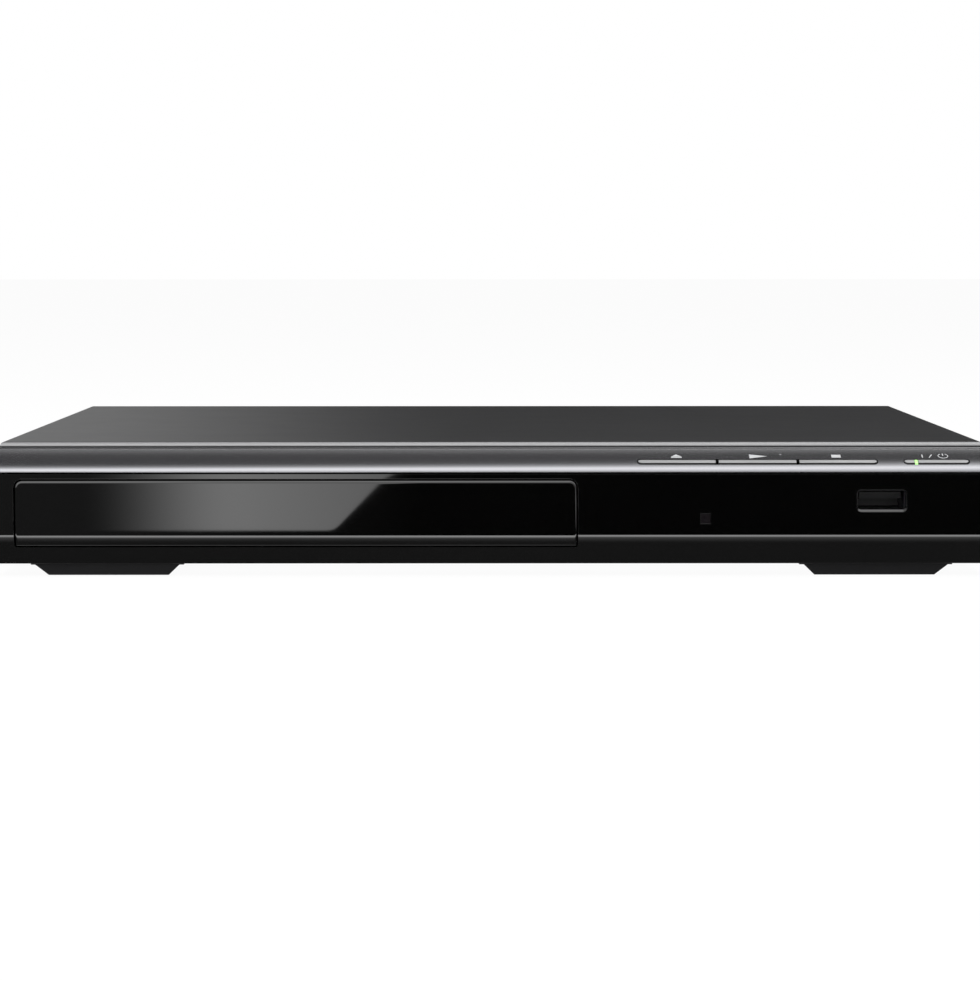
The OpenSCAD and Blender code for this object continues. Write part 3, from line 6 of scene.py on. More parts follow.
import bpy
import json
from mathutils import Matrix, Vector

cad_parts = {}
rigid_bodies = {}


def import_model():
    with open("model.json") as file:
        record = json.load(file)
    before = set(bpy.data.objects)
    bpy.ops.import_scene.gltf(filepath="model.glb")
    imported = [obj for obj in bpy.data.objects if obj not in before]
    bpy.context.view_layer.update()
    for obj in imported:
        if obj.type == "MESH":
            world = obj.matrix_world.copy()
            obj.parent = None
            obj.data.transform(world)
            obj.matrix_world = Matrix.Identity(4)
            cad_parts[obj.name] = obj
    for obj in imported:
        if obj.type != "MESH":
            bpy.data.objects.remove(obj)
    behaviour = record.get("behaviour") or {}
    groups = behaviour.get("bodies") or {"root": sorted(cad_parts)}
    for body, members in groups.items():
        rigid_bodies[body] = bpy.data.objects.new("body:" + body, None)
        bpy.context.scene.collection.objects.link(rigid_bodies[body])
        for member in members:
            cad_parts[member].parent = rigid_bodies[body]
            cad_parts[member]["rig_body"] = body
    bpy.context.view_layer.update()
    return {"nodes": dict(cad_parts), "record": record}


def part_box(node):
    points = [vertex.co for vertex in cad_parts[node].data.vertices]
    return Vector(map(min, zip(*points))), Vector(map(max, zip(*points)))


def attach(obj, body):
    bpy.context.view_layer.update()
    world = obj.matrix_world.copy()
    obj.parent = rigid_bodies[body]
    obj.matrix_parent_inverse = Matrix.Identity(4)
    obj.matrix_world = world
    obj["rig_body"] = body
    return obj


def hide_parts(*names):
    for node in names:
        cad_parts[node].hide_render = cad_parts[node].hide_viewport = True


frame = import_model()

import contextlib
import json
import math

import bmesh
import bpy
import numpy as np
from mathutils import Vector

MM = 0.001
NODES = frame["nodes"]
SLOTS = {part["node"]: part["material_slot"] for part in frame["record"]["subparts"]}

# ---- the casing's main lines, in millimetres ----
WIDTH = 270.0
FRONT = -103.5          # y of the glossy face
FACE_TOP = 28.65        # z where the face meets the nose moulding
NOSE_DEPTH = 12.0
NOSE_WALL = 1.5
# the nose's section, each point as (t behind the face, height): two ends, and two points that draw the curve
NOSE_CURVE = np.array([[NOSE_DEPTH, 34.35], [6.0, 33.2], [0.0, 31.2], [0.0, FACE_TOP]])
KEY_FRONT, KEY_BACK, KEY_GAP = 1.8, 3.2, 0.2
KEY_TOPS = (31.05, 31.78)        # height of the keys' tops at their front and back edges
SLOT_FRONT, SLOT_BACK = 1.1, 3.4
SLOT_MIDDLE, SLOT_HALF = (SLOT_FRONT + SLOT_BACK) / 2, (SLOT_BACK - SLOT_FRONT) / 2
DOOR = (-128.95, 23.15, 8.35, 26.55)        # the door's left and right sides, bottom and top
# the keys' left and right ends
KEYS = {"eject_button": (39.5, 60.7), "play_button": (61.34, 82.54), "stop_button": (83.18, 104.38),
        "power_button": (111.6, 129.2)}
LIGHT_WINDOW = (114.5, 115.35)
BOARD_TOP = 9.9

# the camera's place in metres
EYE = (-0.0015, -0.906, 0.0885)
WHITE = (1, 1, 1, 1)


# ---- studio ----

def linear(code):
    """An sRGB hex colour as linear RGBA."""
    channels = np.array([int(code[i:i + 2], 16) for i in (1, 3, 5)]) / 255
    low, high = channels / 12.92, ((channels + 0.055) / 1.055) ** 2.4
    return (*np.where(channels <= 0.04045, low, high).tolist(), 1.0)


def add(tree, kind, settings=(), links=()):
    """Adds one node; settings are its own fields, links its sockets, each given a value or another node's output."""
    node = tree.nodes.new("ShaderNode" + kind)
    for field, value in dict(settings).items():
        setattr(node, field, value)
    for socket, value in dict(links).items():
        if isinstance(value, bpy.types.NodeSocket):
            tree.links.new(value, node.inputs[socket])
        else:
            node.inputs[socket].default_value = value
    return node


def calc(tree, operation, *values):
    """The output of one Math node."""
    return add(tree, "Math", {"operation": operation}, dict(enumerate(values))).outputs[0]


def span(tree, value, low, high, start=0.0, end=1.0, **settings):
    """The output of one Map Range node: start where value is at low, and end where it is at high."""
    return add(tree, "MapRange", settings,
               {"Value": value, "From Min": low, "From Max": high, "To Min": start, "To Max": end}).outputs[0]


def smooth(tree, value, low, high, start=0.0, end=1.0):
    """As span, with soft ends."""
    return span(tree, value, low, high, start, end, interpolation_type="SMOOTHSTEP")


def between(tree, share, first, second):
    """A value that is first where share is 0, and second where it is 1."""
    return add(tree, "Mix", {}, {0: share, 2: first, 3: second}).outputs[0]


def blend(tree, share, tone, other, mode="MIX"):
    """A colour that is tone where share is 0; where it is 1, other is mixed, added or multiplied in."""
    return add(tree, "Mix", {"data_type": "RGBA", "blend_type": mode}, {"Factor": share, 6: tone, 7: other}).outputs[2]


def axes_of(tree, place=None):
    """X, Y and Z of a place, by default of the surface in its object's coordinates."""
    if place is None:
        place = add(tree, "TexCoord").outputs["Object"]
    return add(tree, "SeparateXYZ", {}, {0: place}).outputs


def glowing(tree, level):
    """White light of the given level."""
    return add(tree, "Emission", {}, {"Color": WHITE, "Strength": level}).outputs[0]


def studio_rays(tree):
    """1 for rays from the camera, in mirrors and through glass, 0 for the light that falls on the object."""
    path = add(tree, "LightPath").outputs
    seen = calc(tree, "MAXIMUM", path["Is Camera Ray"], path["Is Glossy Ray"])
    return calc(tree, "MAXIMUM", seen, path["Is Transmission Ray"])


def make_world(strength):
    """White behind the object, and an even soft light of the given strength on it."""
    world = bpy.data.worlds.new("studio_world")
    world.use_nodes = True
    tree = world.node_tree
    tree.nodes.clear()
    level = span(tree, studio_rays(tree), 0.0, 1.0, strength, 1.0)
    glow = add(tree, "Background", {}, {"Color": WHITE, "Strength": level})
    add(tree, "OutputWorld", {}, {"Surface": glow.outputs[0]})
    bpy.context.scene.world = world


def soft_box(name, place, aim, size, power):
    """A rectangular lamp at place, turned towards aim; mirrors see the studio's cards in its stead."""
    lamp = bpy.data.lights.new(name, "AREA")
    lamp.shape = "RECTANGLE"
    lamp.size, lamp.size_y = size
    lamp.energy = power
    holder = bpy.data.objects.new(name, lamp)
    holder.location = place
    holder.rotation_euler = (Vector(aim) - Vector(place)).to_track_quat("-Z", "Y").to_euler()
    holder.visible_glossy = False
    bpy.context.scene.collection.objects.link(holder)


def make_camera():
    """The photograph's view: a long lens from just above, whose axis is turned a little to the right and down."""
    lens_in_pixels, width = 2983.0, 980.0
    lens = bpy.data.cameras.new("camera")
    lens.sensor_fit = "HORIZONTAL"
    lens.sensor_width = 36.0
    lens.lens = lens_in_pixels / width * lens.sensor_width
    lens.clip_start, lens.clip_end = 0.01, 100.0
    tilt, roll, turn = 90 - 4.62, 0.02, -0.077
    camera = bpy.data.objects.new("camera", lens)
    camera.location = EYE
    camera.rotation_euler = [math.radians(degrees) for degrees in (tilt, roll, turn)]
    bpy.context.scene.collection.objects.link(camera)
    bpy.context.scene.camera = camera


def studio_piece(name, surface, points, faces):
    """A mesh object of the studio, with a new material that has no nodes yet."""
    mesh = bpy.data.meshes.new(name)
    mesh.from_pydata(np.asarray(points, float).tolist(), [], faces)
    piece = bpy.data.objects.new(name, mesh)
    bpy.context.scene.collection.objects.link(piece)
    material = bpy.data.materials.new(surface)
    material.use_nodes = True
    material.node_tree.nodes.clear()
    mesh.materials.append(material)
    return piece, material


def card(name, points, faces, shader):
    """A studio card, flat or curved, which only mirrors see."""
    board, material = studio_piece(name, name, points, faces)
    material.cycles.emission_sampling = "NONE"
    add(material.node_tree, "OutputMaterial", {}, {"Surface": shader(material.node_tree)})
    board.visible_camera = board.visible_diffuse = board.visible_shadow = False
    board.visible_transmission = False


def make_floor():
    """A wide pale floor; to the camera it is mostly white, with the object's shadow left in it."""
    half, whiteness = 8.0, 0.95
    corners = [(-half, -half, 0), (half, -half, 0), (half, half, 0), (-half, half, 0)]
    floor, material = studio_piece("studio_floor", "pale_floor", corners, [(0, 1, 2, 3)])
    tree = material.node_tree
    paint = add(tree, "BsdfDiffuse", {}, {"Color": linear("#f4f4f4")}).outputs[0]
    share = calc(tree, "MULTIPLY", studio_rays(tree), whiteness)
    mix = add(tree, "MixShader", {}, {0: share, 1: paint, 2: glowing(tree, 1.0)})
    add(tree, "OutputMaterial", {}, {"Surface": mix.outputs[0]})


# The front card's picture on the upright face: heights in millimetres, places along X and Y in metres.
GLOW_END = (13.96, 25.7, -0.0409, -0.0294)      # the glow's slanted right end: two heights, and its places there
GLOW_FLARE = (26.0, 28.8, 0.0, 0.0018)          # between these heights the end runs out by this much more
GLOW_FOOT, GLOW_CORNER = 12.47, 2.2             # height of the glow's lower end, and how its corner is rounded
GLOW_BLUR = 0.12                                # half the width of its blurred edge
SQUARE_TO_END = 716.0                           # millimetres square to the slanted end for each metre along X
GLOW_RISE, GLOW_POWER = (-0.1124, -0.0692), 1.3     # along X, from no light to full light
GLOW_FALL = (-0.066, -0.030, 3.6, 2.6)          # then slowly down between two levels
HAZE = (-0.11, -0.02, 0.17, 0.01)               # a faint light over the whole card, which falls between two levels
SIDE_PATCH, SIDE_LEVEL = (0.19, 0.05), 1.7      # middle and half width of a lit patch right of the face
STRIP_START = (-0.1243, -0.1235)                # along Y, from the glow to the strip near the player
STRIP_FADE = (-0.1175, -0.1095, 5.5, 0.16)      # the strip's fall towards the player


def front_card_light(tree):
    """The card that lies before the player, drawn as its mirror image on the upright face. With the eye at a distance D
    before the face, a point d ahead of the face shows at the share q = d / (d + D) of the eye's height, and at (1 - q)
    of its own distance from the middle. The image is a glow on the left with a slanted, rounded right end, and near
    the player a narrow lit strip that draws the line along the face's lower edge."""
    axes = axes_of(tree)
    ahead = calc(tree, "SUBTRACT", FRONT * MM, axes["Y"])
    share = calc(tree, "DIVIDE", ahead, calc(tree, "ADD", ahead, FRONT * MM - EYE[1]))
    up = calc(tree, "MULTIPLY", share, EYE[2] / MM)
    along = calc(tree, "MULTIPLY", axes["X"], calc(tree, "SUBTRACT", 1.0, share))
    end = calc(tree, "ADD", span(tree, up, *GLOW_END, clamp=False), smooth(tree, up, *GLOW_FLARE))
    aside = calc(tree, "MULTIPLY", calc(tree, "SUBTRACT", end, along), SQUARE_TO_END)
    inside = calc(tree, "SMOOTH_MIN", aside, calc(tree, "SUBTRACT", up, GLOW_FOOT), GLOW_CORNER)
    shape = smooth(tree, inside, -GLOW_BLUR, GLOW_BLUR)
    rise = calc(tree, "POWER", smooth(tree, along, *GLOW_RISE), GLOW_POWER)
    lit = calc(tree, "MULTIPLY", rise, span(tree, along, *GLOW_FALL))
    glow = calc(tree, "MULTIPLY", lit, shape)
    # the door's right edge mirrors the patch
    side = calc(tree, "MULTIPLY", calc(tree, "COMPARE", along, *SIDE_PATCH), SIDE_LEVEL)
    far = calc(tree, "ADD", calc(tree, "ADD", glow, span(tree, along, *HAZE)), side)
    near = smooth(tree, axes["Y"], *STRIP_START)
    return glowing(tree, between(tree, near, far, smooth(tree, axes["Y"], *STRIP_FADE)))


# how bright the arch is over the turn from the front horizon (0) past the zenith (90) to the rear horizon (180)
ARCH = [(0, 1.2), (10, 1.8), (22, 2.4), (39, 3.1), (54, 4.0), (66, 3.8), (78, 2.8), (87, 1.9), (95, 1.25), (102, 0.82),
        (108, 0.5), (113, 0.31), (118, 0.19), (123, 0.13), (130, 0.09), (137, 0.09), (144, 0.14), (149, 0.32),
        (153, 0.5), (157, 0.25), (162, 0.06), (180, 0.0)]
ARCH_PEAK = 4.0                         # the brightest level in the table
ARCH_Y, ARCH_Z = -0.1, 0.03             # the arch bends about this line through the nose moulding
# between two places along X, how far the table slips along the turn; over the second range of the turn the slip ends.
# Both are shares of the half turn.
ARCH_SLIP, ARCH_HOLD = (-0.45, 0.5, 0.15, -0.07), (0.6, 0.76, 1.0, 0.0)
# between two places along X, the level of the rear horizon's own light; over the second range of the turn it begins
REAR_LEVEL, REAR_START = (-0.45, -0.02, 0.42, 0.01), (0.88, 0.93)


def arch_light(tree):
    """The arch over the player. Its light follows the table by the turn about the nose moulding; on the left the front
    light stops lower, by up to 27 degrees, and the rear horizon is lighter, so that the cover pales to that side."""
    axes = axes_of(tree)
    ahead, up = calc(tree, "SUBTRACT", ARCH_Y, axes["Y"]), calc(tree, "SUBTRACT", axes["Z"], ARCH_Z)
    part = calc(tree, "DIVIDE", calc(tree, "ARCTAN2", up, ahead), math.pi)
    slip, hold = span(tree, axes["X"], *ARCH_SLIP), span(tree, part, *ARCH_HOLD)
    table = add(tree, "FloatCurve", {}, {"Value": calc(tree, "MULTIPLY_ADD", slip, hold, part)})
    curve = table.mapping.curves[0]
    for point, (degrees, level) in zip(curve.points, (ARCH[0], ARCH[-1])):
        point.location = degrees / 180, level / ARCH_PEAK
    for degrees, level in ARCH[1:-1]:
        curve.points.new(degrees / 180, level / ARCH_PEAK)
    table.mapping.update()
    rear = calc(tree, "MULTIPLY", smooth(tree, axes["X"], *REAR_LEVEL), smooth(tree, part, *REAR_START))
    return glowing(tree, calc(tree, "MULTIPLY_ADD", table.outputs[0], ARCH_PEAK, rear))


def make_cards():
    """The card that lies before the player, and a half cylinder over it."""
    half, far, near, lift = 0.9, -0.62, -0.101, 0.0004
    card("front_card", [(-half, far, lift), (half, far, lift), (half, near, lift), (-half, near, lift)],
         [(0, 1, 2, 3)], front_card_light)
    radius, half, count = 2, 2.6, 61
    bow = np.linspace(0, np.pi, count)
    line = np.stack([ARCH_Y - radius * np.cos(bow), ARCH_Z + radius * np.sin(bow)], 1)
    card("studio_arch", np.concatenate([np.insert(line, 0, -half, 1), np.insert(line, 0, half, 1)]),
         [(i, i + 1, i + count + 1, i + count) for i in range(count - 1)], arch_light)


scene = bpy.context.scene
scene.view_settings.view_transform = "Standard"
make_camera()
make_world(0.36)
make_floor()
make_cards()
soft_box("front_soft_box", (0.0, -1.0, 1.0), (0.0, -0.1, 0.0), (1.6, 0.7), 20.0)
soft_box("top_soft_box", (0.0, 0.1, 1.6), (0.0, 0.0, 0.0), (1.6, 1.0), 18.0)


# ---- finishes ----

def finish(name, colour, other, rough, metal=0.0, blotch=14.0, grain=0.4, depth=3.0, stretch=(1, 1, 1), spread=0.15,
           zone=None, tint=None, **sockets):
    """A surface whose colour drifts between two tones, and its roughness by the share spread, in patches of blotch mm,
    under a relief of grain mm across and depth micrometres high. stretch draws both out along an axis, as brushing
    does. tint and zone, where given, rework the colour and the roughness by place."""
    material = bpy.data.materials.new(name)
    material.use_nodes = True
    tree = material.node_tree
    shader = tree.nodes["Principled BSDF"]
    place = add(tree, "TexCoord").outputs["Object"]
    drawn = add(tree, "Mapping", {}, {"Vector": place, "Scale": stretch}).outputs[0]
    patches = add(tree, "TexNoise", {}, {"Vector": drawn, "Scale": 1000 / blotch, "Detail": 3.0}).outputs[0]
    tone = blend(tree, patches, linear(colour), linear(other))
    if tint:
        tone = tint(tree, place, tone)
    dull = span(tree, patches, 0.3, 0.7, rough * (1 - spread), rough * (1 + spread))
    if zone:
        dull = zone(tree, place, dull)
    relief = add(tree, "TexNoise", {}, {"Vector": drawn, "Scale": 1000 / grain, "Detail": 2.0})
    bump = add(tree, "Bump", {}, {"Height": relief.outputs[0], "Distance": depth * 1e-6, "Strength": 1.0})
    tree.links.new(tone, shader.inputs["Base Color"])
    tree.links.new(dull, shader.inputs["Roughness"])
    tree.links.new(bump.outputs[0], shader.inputs["Normal"])
    shader.inputs["Metallic"].default_value = metal
    for socket, value in sockets.items():
        shader.inputs[socket.replace("_", " ")].default_value = value
    return material


def conductor_lines(axis, pitch):
    """Flat cable: grey conductors seen through white film, a pitch apart in mm across the given axis."""
    def lines(tree, place, tone):
        wave = calc(tree, "FRACT", calc(tree, "MULTIPLY", axes_of(tree, place)[axis], 1000 / pitch))
        return blend(tree, calc(tree, "COMPARE", wave, 0.5, 0.24), tone, linear("#a9a9a6"))
    return lines


def copper_tracks(tree, place, tone):
    """Circuit board: lighter lines where copper tracks run under the solder mask, and small round plated holes."""
    cells = add(tree, "TexVoronoi", {"distance": "CHEBYCHEV"}, {"Vector": place, "Scale": 1000 / 5.0})
    track = calc(tree, "FRACT", calc(tree, "MULTIPLY", cells.outputs["Distance"], 7.0))
    shade = blend(tree, calc(tree, "LESS_THAN", track, 0.4), tone, (0.012, 0.03, 0.012, 1), "ADD")
    holes = add(tree, "TexVoronoi", {}, {"Vector": place, "Scale": 1000 / 3.2})
    return blend(tree, calc(tree, "LESS_THAN", holes.outputs["Distance"], 0.13), shade, linear("#b9b7a6"))


def socket_colours(tree, place, tone):
    """Insulators in the four colours that phono sockets have, one for each socket from left to right."""
    ramp = add(tree, "ValToRGB", {}, {"Fac": span(tree, axes_of(tree, place)["X"], 67 * MM, 123 * MM)})
    bands = ramp.color_ramp
    bands.interpolation = "CONSTANT"
    for position, code in ((0.25, "#d9d9d4"), (0.5, "#b3231f"), (0.75, "#c8641b")):
        bands.elements.new(position).color = linear(code)
    bands.elements[0].color = linear("#d9b32a")
    return blend(tree, 0.12, ramp.outputs["Color"], tone, "MULTIPLY")


def zinc_flowers(tree, place, tone):
    """Hot-dip zinc: crystal flowers about 9 mm across, each with its own grey."""
    cells = add(tree, "TexVoronoi", {}, {"Vector": place, "Scale": 1000 / 9.0})
    grey = add(tree, "RGBToBW", {}, {0: cells.outputs["Color"]}).outputs[0]
    return blend(tree, grey, tone, linear("#c3c7ca"))


def front_bend(tree, place):
    """1 on the part of the cover's front bend that the light from the front strikes, 0 above, below and behind it."""
    axes = axes_of(tree, place)
    ahead = span(tree, axes["Y"], -90.42 * MM, -90.25 * MM, 1.0, 0.0)
    return calc(tree, "MULTIPLY", ahead, span(tree, axes["Z"], 34.85 * MM, 35.05 * MM))


def painted_bend_highlight(tree, place, tone):
    """Painted highlight: the cover's grey is made paler on the front bend, where the light from the front strikes it.
    """
    return blend(tree, front_bend(tree, place), tone, linear("#808081"))


def smooth_front_bend(tree, place, dull):
    """Handling polishes the bend."""
    return between(tree, front_bend(tree, place), dull, 0.18)


def dark_key_sides(tree, place, tone):
    """The keys' upright sides, from 0.08 mm below the top, are coloured near-black; the tops keep the silver."""
    axes = axes_of(tree, place)
    slope = (KEY_TOPS[1] - KEY_TOPS[0]) / (KEY_BACK - KEY_FRONT)
    level = calc(tree, "MULTIPLY_ADD", axes["Y"], -slope, axes["Z"])
    top = (KEY_TOPS[0] - slope * (FRONT + KEY_FRONT)) * MM
    side = span(tree, level, top - 0.08 * MM, top - 0.01 * MM, 1.0, 0.0)
    return blend(tree, side, tone, linear("#141415"))


def painted_back_edge_highlight(tree, place, tone):
    """Painted highlight: the moulding's grey is made paler towards its back edge, where the cover meets it."""
    edge = span(tree, axes_of(tree, place)["Y"], -94.0 * MM, -92.2 * MM)
    return blend(tree, edge, tone, linear("#9a9a9c"))


def satin_above(tree, place, dull):
    """Plugs polish the socket rim's lower edge; the rest is satin."""
    return between(tree, span(tree, axes_of(tree, place)["Z"], 18.7 * MM, 19.4 * MM), dull, 0.5)


FINISH = {
    # zinc-coated sheet steel, cold-formed: dull, with pale crystal flowers
    "chassis_steel": finish("zinc_coated_steel", "#9da1a4", "#b4b8ba", 0.42, 0.9, grain=0.5, depth=2,
                            tint=zinc_flowers),
    # epoxy-polyester powder on sheet steel, matt: a fine pebbled black
    "rear_panel_paint": finish("matt_black_powder_coat", "#1b1b1d", "#232326", 0.6, grain=0.45, depth=9),
    # satin powder coat on the folded cover: dark grey, soft sheen, fine pebble, with a painted highlight along the
    # front bend
    "cover_paint": finish("satin_grey_powder_coat", "#242425", "#262627", 0.3, grain=0.4, depth=1.5, spread=0.03,
                          tint=painted_bend_highlight, zone=smooth_front_bend),
    # blackened steel screws: dark with worn bright spots
    "dark_screws": finish("blackened_steel", "#18181a", "#3a3a3d", 0.38, 0.8, blotch=2, grain=0.3, depth=2),
    # bright drawn steel: fine lines along the draw
    "bright_steel": finish("bright_steel", "#b4b6b8", "#cfd1d3", 0.28, 1.0, blotch=6, grain=0.25, depth=1,
                           stretch=(1, 0.06, 1)),
    # nickel-plated deep-drawn motor cans
    "motor_steel": finish("plated_motor_can", "#a9acb0", "#c4c6c9", 0.3, 1.0, blotch=5, grain=0.3, depth=1,
                          stretch=(1, 1, 0.1)),
    # ABS from a polished mould: black, mirror-like, with a faint long wave from shrinkage
    "gloss_black": finish("polished_black_abs", "#020202", "#030303", 0.035, blotch=30, grain=6, depth=0.12),
    # ABS under metallic grey lacquer: flakes catch the light on the bend; a painted highlight pales its back edge
    "nose_grey": finish("grey_metallic_lacquer", "#77777a", "#7b7b7e", 0.22, 0.9, blotch=0.5, grain=0.3, depth=0.12,
                        spread=0.06, Coat_Weight=0.4, Coat_Roughness=0.1, tint=painted_back_edge_highlight),
    # ABS keys under silver lacquer, brushed lengthways
    "key_silver": finish("silver_lacquer", "#a2a2a3", "#aeaeaf", 0.36, 0.55, blotch=1.0, grain=0.3, depth=0.3,
                         stretch=(0.05, 1, 1), tint=dark_key_sides),
    # ABS with a spark-eroded grain: soft black with a fine sparkle
    "black_plastic": finish("grained_black_abs", "#0c0c0d", "#101011", 0.32, grain=0.35, depth=3,
                            Specular_IOR_Level=0.25),
    # soft thermoplastic rubber: dull, slightly dusty
    "pad_rubber": finish("soft_black_rubber", "#0d0d0e", "#171717", 0.82, blotch=5, grain=0.6, depth=12),
    # polished dark filter window over the remote receiver
    "dark_window": finish("dark_filter_window", "#0c0a0c", "#100d0f", 0.12, blotch=4, grain=3, depth=0.3),
    # natural acetal gears: waxy off-white
    "gear_plastic": finish("natural_acetal", "#e4e0d4", "#ece9df", 0.38, blotch=6, grain=0.5, depth=2,
                           Subsurface_Weight=0.1, Subsurface_Scale=0.001),
    # turned brass pinion
    "brass_gear": finish("turned_brass", "#b98d3c", "#cfa552", 0.28, 1.0, blotch=2, grain=0.2, depth=1,
                         stretch=(1, 1, 0.2)),
    # glass laminate under green solder mask, with tracks and plated holes
    "board_green": finish("green_solder_mask", "#174f2a", "#1d5a31", 0.3, grain=0.8, depth=6, tint=copper_tracks),
    # paper laminate: brown, bare
    "board_brown": finish("paper_laminate", "#7d5a30", "#8f6a3b", 0.55, blotch=3, grain=0.5, depth=5,
                          stretch=(0.3, 1, 1), tint=copper_tracks),
    # shrink sleeve on aluminium cans
    "can_sleeve": finish("shrink_sleeve", "#1a2740", "#21304c", 0.32, blotch=5, grain=0.8, depth=3),
    # yellow polyester tape wound round a ferrite core
    "winding_tape": finish("yellow_winding_tape", "#c39a35", "#cfa744", 0.35, blotch=3, grain=0.9, depth=20,
                           stretch=(0.1, 0.1, 1.2)),
    # nickel plate on contacts and socket rims
    "contact_plate": finish("nickel_plate", "#c2c3c2", "#d3d4d2", 0.2, 1.0, blotch=4, grain=0.4, depth=0.8),
    # coloured polypropylene insulators of the phono sockets
    "core_plastic": finish("coloured_insulator", "#cfcfca", "#e2e2dc", 0.42, blotch=4, grain=0.5, depth=4,
                           tint=socket_colours),
    # insulated wires
    "harness_red": finish("wire_insulation", "#a5231c", "#b42c23", 0.42, blotch=3, grain=0.5, depth=3),
    # coated polycarbonate lens
    "lens_glass": finish("coated_lens", "#39537a", "#4b3f7d", 0.06, blotch=3, grain=2, depth=0.1, Coat_Weight=1.0),
    # clear acrylic light pipe with a green glow behind it
    "light_pipe": finish("lit_green_acrylic", "#8fc877", "#a6d88e", 0.25, blotch=0.6, grain=0.4, depth=1,
                         Emission_Color=linear("#a2e07c"), Emission_Strength=0.75),
}
FINISH_BY_NODE = {
    # moulded feet, satin from the tool
    "feet": finish("satin_black_feet", "#070708", "#0b0b0c", 0.5, grain=0.35, depth=3, Specular_IOR_Level=0.12),
    # white polyester film over flat conductors, a millimetre apart
    "loader_ribbon": finish("flat_cable_lengthways", "#dcdad2", "#e6e4dc", 0.35, blotch=6, grain=0.6, depth=3,
                            tint=conductor_lines("Y", 1.0)),
    "front_ribbon": finish("flat_cable_crossways", "#dcdad2", "#e6e4dc", 0.35, blotch=6, grain=0.6, depth=3,
                           tint=conductor_lines("X", 1.0)),
    # steel shell of the data socket, coloured near-black as painted shade for the dark inside of its opening
    "data_socket": finish("socket_shell_painted_shade", "#232324", "#2b2b2d", 0.38, 0.8, blotch=4, grain=0.4, depth=0.8),
}
# pale screen print on the nose moulding
PRINT = finish("pale_screen_print", "#a9aaac", "#b4b5b6", 0.4, blotch=1, grain=0.3, depth=1)
# open-cell foam texture in black: the finish of the strip that is painted shade in the gap behind the nose moulding
GAP_SHADE_FINISH = finish("gap_shade_black", "#1d1d1e", "#262627", 0.9, blotch=2, grain=0.5, depth=25, Specular_IOR_Level=0.1)
# ABS rim of the data socket, polished: its lower edge catches the front light
RIM = finish("polished_rim", "#050505", "#080808", 0.05, blotch=3, grain=0.4, depth=0.1, zone=satin_above,
             Specular_IOR_Level=0.4)


# ---- making pieces ----

@contextlib.contextmanager
def opened(mesh):
    """The mesh's shape for editing, written back at the end."""
    shape = bmesh.new()
    shape.from_mesh(mesh)
    yield shape
    shape.to_mesh(mesh)
    shape.free()


def place_piece(name, mesh, material, body, crisp=30.0):
    """Shows a mesh as a piece that rides on a body; edges turned by more than crisp degrees stay sharp."""
    mesh.polygons.foreach_set("use_smooth", np.ones(len(mesh.polygons), bool))
    mesh.set_sharp_from_angle(angle=math.radians(crisp))
    mesh.materials.clear()
    mesh.materials.append(material)
    piece = bpy.data.objects.new(name, mesh)
    scene.collection.objects.link(piece)
    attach(piece, body)
    return piece


# edges that turn by more than this are rounded
EDGE_TURN = math.radians(32)


def soften(piece, width):
    """Rounds the piece's edges by width mm, and keeps its flat faces flat in the light."""
    bevel = piece.modifiers.new("edge_radius", "BEVEL")
    bevel.width = width * MM
    bevel.segments = 2
    bevel.limit_method = "ANGLE"
    bevel.angle_limit = EDGE_TURN
    bevel.use_clamp_overlap = True
    bevel.harden_normals = True
    flatten(piece)
    return bevel


def flatten(piece):
    """Large faces decide the shading where they meet small ones."""
    even = piece.modifiers.new("even_faces", "WEIGHTED_NORMAL")
    even.keep_sharp = True
    even.weight = 80


def refined(node, radius, reshape):
    """A CAD solid with its seams merged, its flat faces joined, its bends shaded smooth and its edges rounded.
    reshape, where given, moves the copy's points, and returns how much of the radius each edge takes."""
    mesh = NODES[node].data.copy()
    mesh.name = node + "_refined"
    with opened(mesh) as shape:
        bmesh.ops.remove_doubles(shape, verts=shape.verts, dist=2e-6)
        bmesh.ops.dissolve_limit(shape, angle_limit=math.radians(0.4), verts=shape.verts, edges=shape.edges)
    for layer in ("custom_normal", "sharp_face"):
        if layer in mesh.attributes:
            mesh.attributes.remove(mesh.attributes[layer])
    share = reshape(mesh) if reshape else None
    material = FINISH_BY_NODE.get(node) or FINISH[SLOTS[node]]
    piece = place_piece(node + "_dressed", mesh, material, NODES[node]["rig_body"])
    if radius:
        bevel = soften(piece, radius)
        if share is not None:
            mesh.attributes.new("bevel_weight_edge", "FLOAT", "EDGE").data.foreach_set("value", share)
            bevel.limit_method = "WEIGHT"
    else:
        flatten(piece)
    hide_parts(node)


def nose_curve():
    """The nose's section as points (t behind the face, height) of a cubic curve, and the curve's parameter there."""
    u = np.linspace(0, 1, 400)[:, None]
    p = NOSE_CURVE
    curve = (1 - u) ** 3 * p[0] + 3 * (1 - u) ** 2 * u * p[1] + 3 * (1 - u) * u ** 2 * p[2] + u ** 3 * p[3]
    return curve, u[:, 0]


def nose(t):
    """Height of the nose moulding's skin t mm behind the face."""
    curve = nose_curve()[0]
    return np.interp(t, curve[::-1, 0], curve[::-1, 1])


def grid_faces(rows, columns, keep=None):
    """Quads between neighbours in a grid of points; keep, where given, marks the cells that are there."""
    index = np.arange(rows * columns).reshape(rows, columns)
    quads = np.stack([index[:-1, :-1], index[1:, :-1], index[1:, 1:], index[:-1, 1:]], -1)
    return (quads if keep is None else quads[keep]).reshape(-1, 4).tolist()


def lofted(rings):
    """A closed solid through a stack of rings of points, with a flat cap on the first and on the last."""
    index = np.arange(rings.shape[0] * rings.shape[1]).reshape(rings.shape[:2])
    ahead = np.roll(index, -1, 1)
    quads = np.stack([index[:-1], ahead[:-1], ahead[1:], index[1:]], -1).reshape(-1, 4).tolist()
    return rings.reshape(-1, 3), quads + [index[0, ::-1].tolist(), index[-1].tolist()]


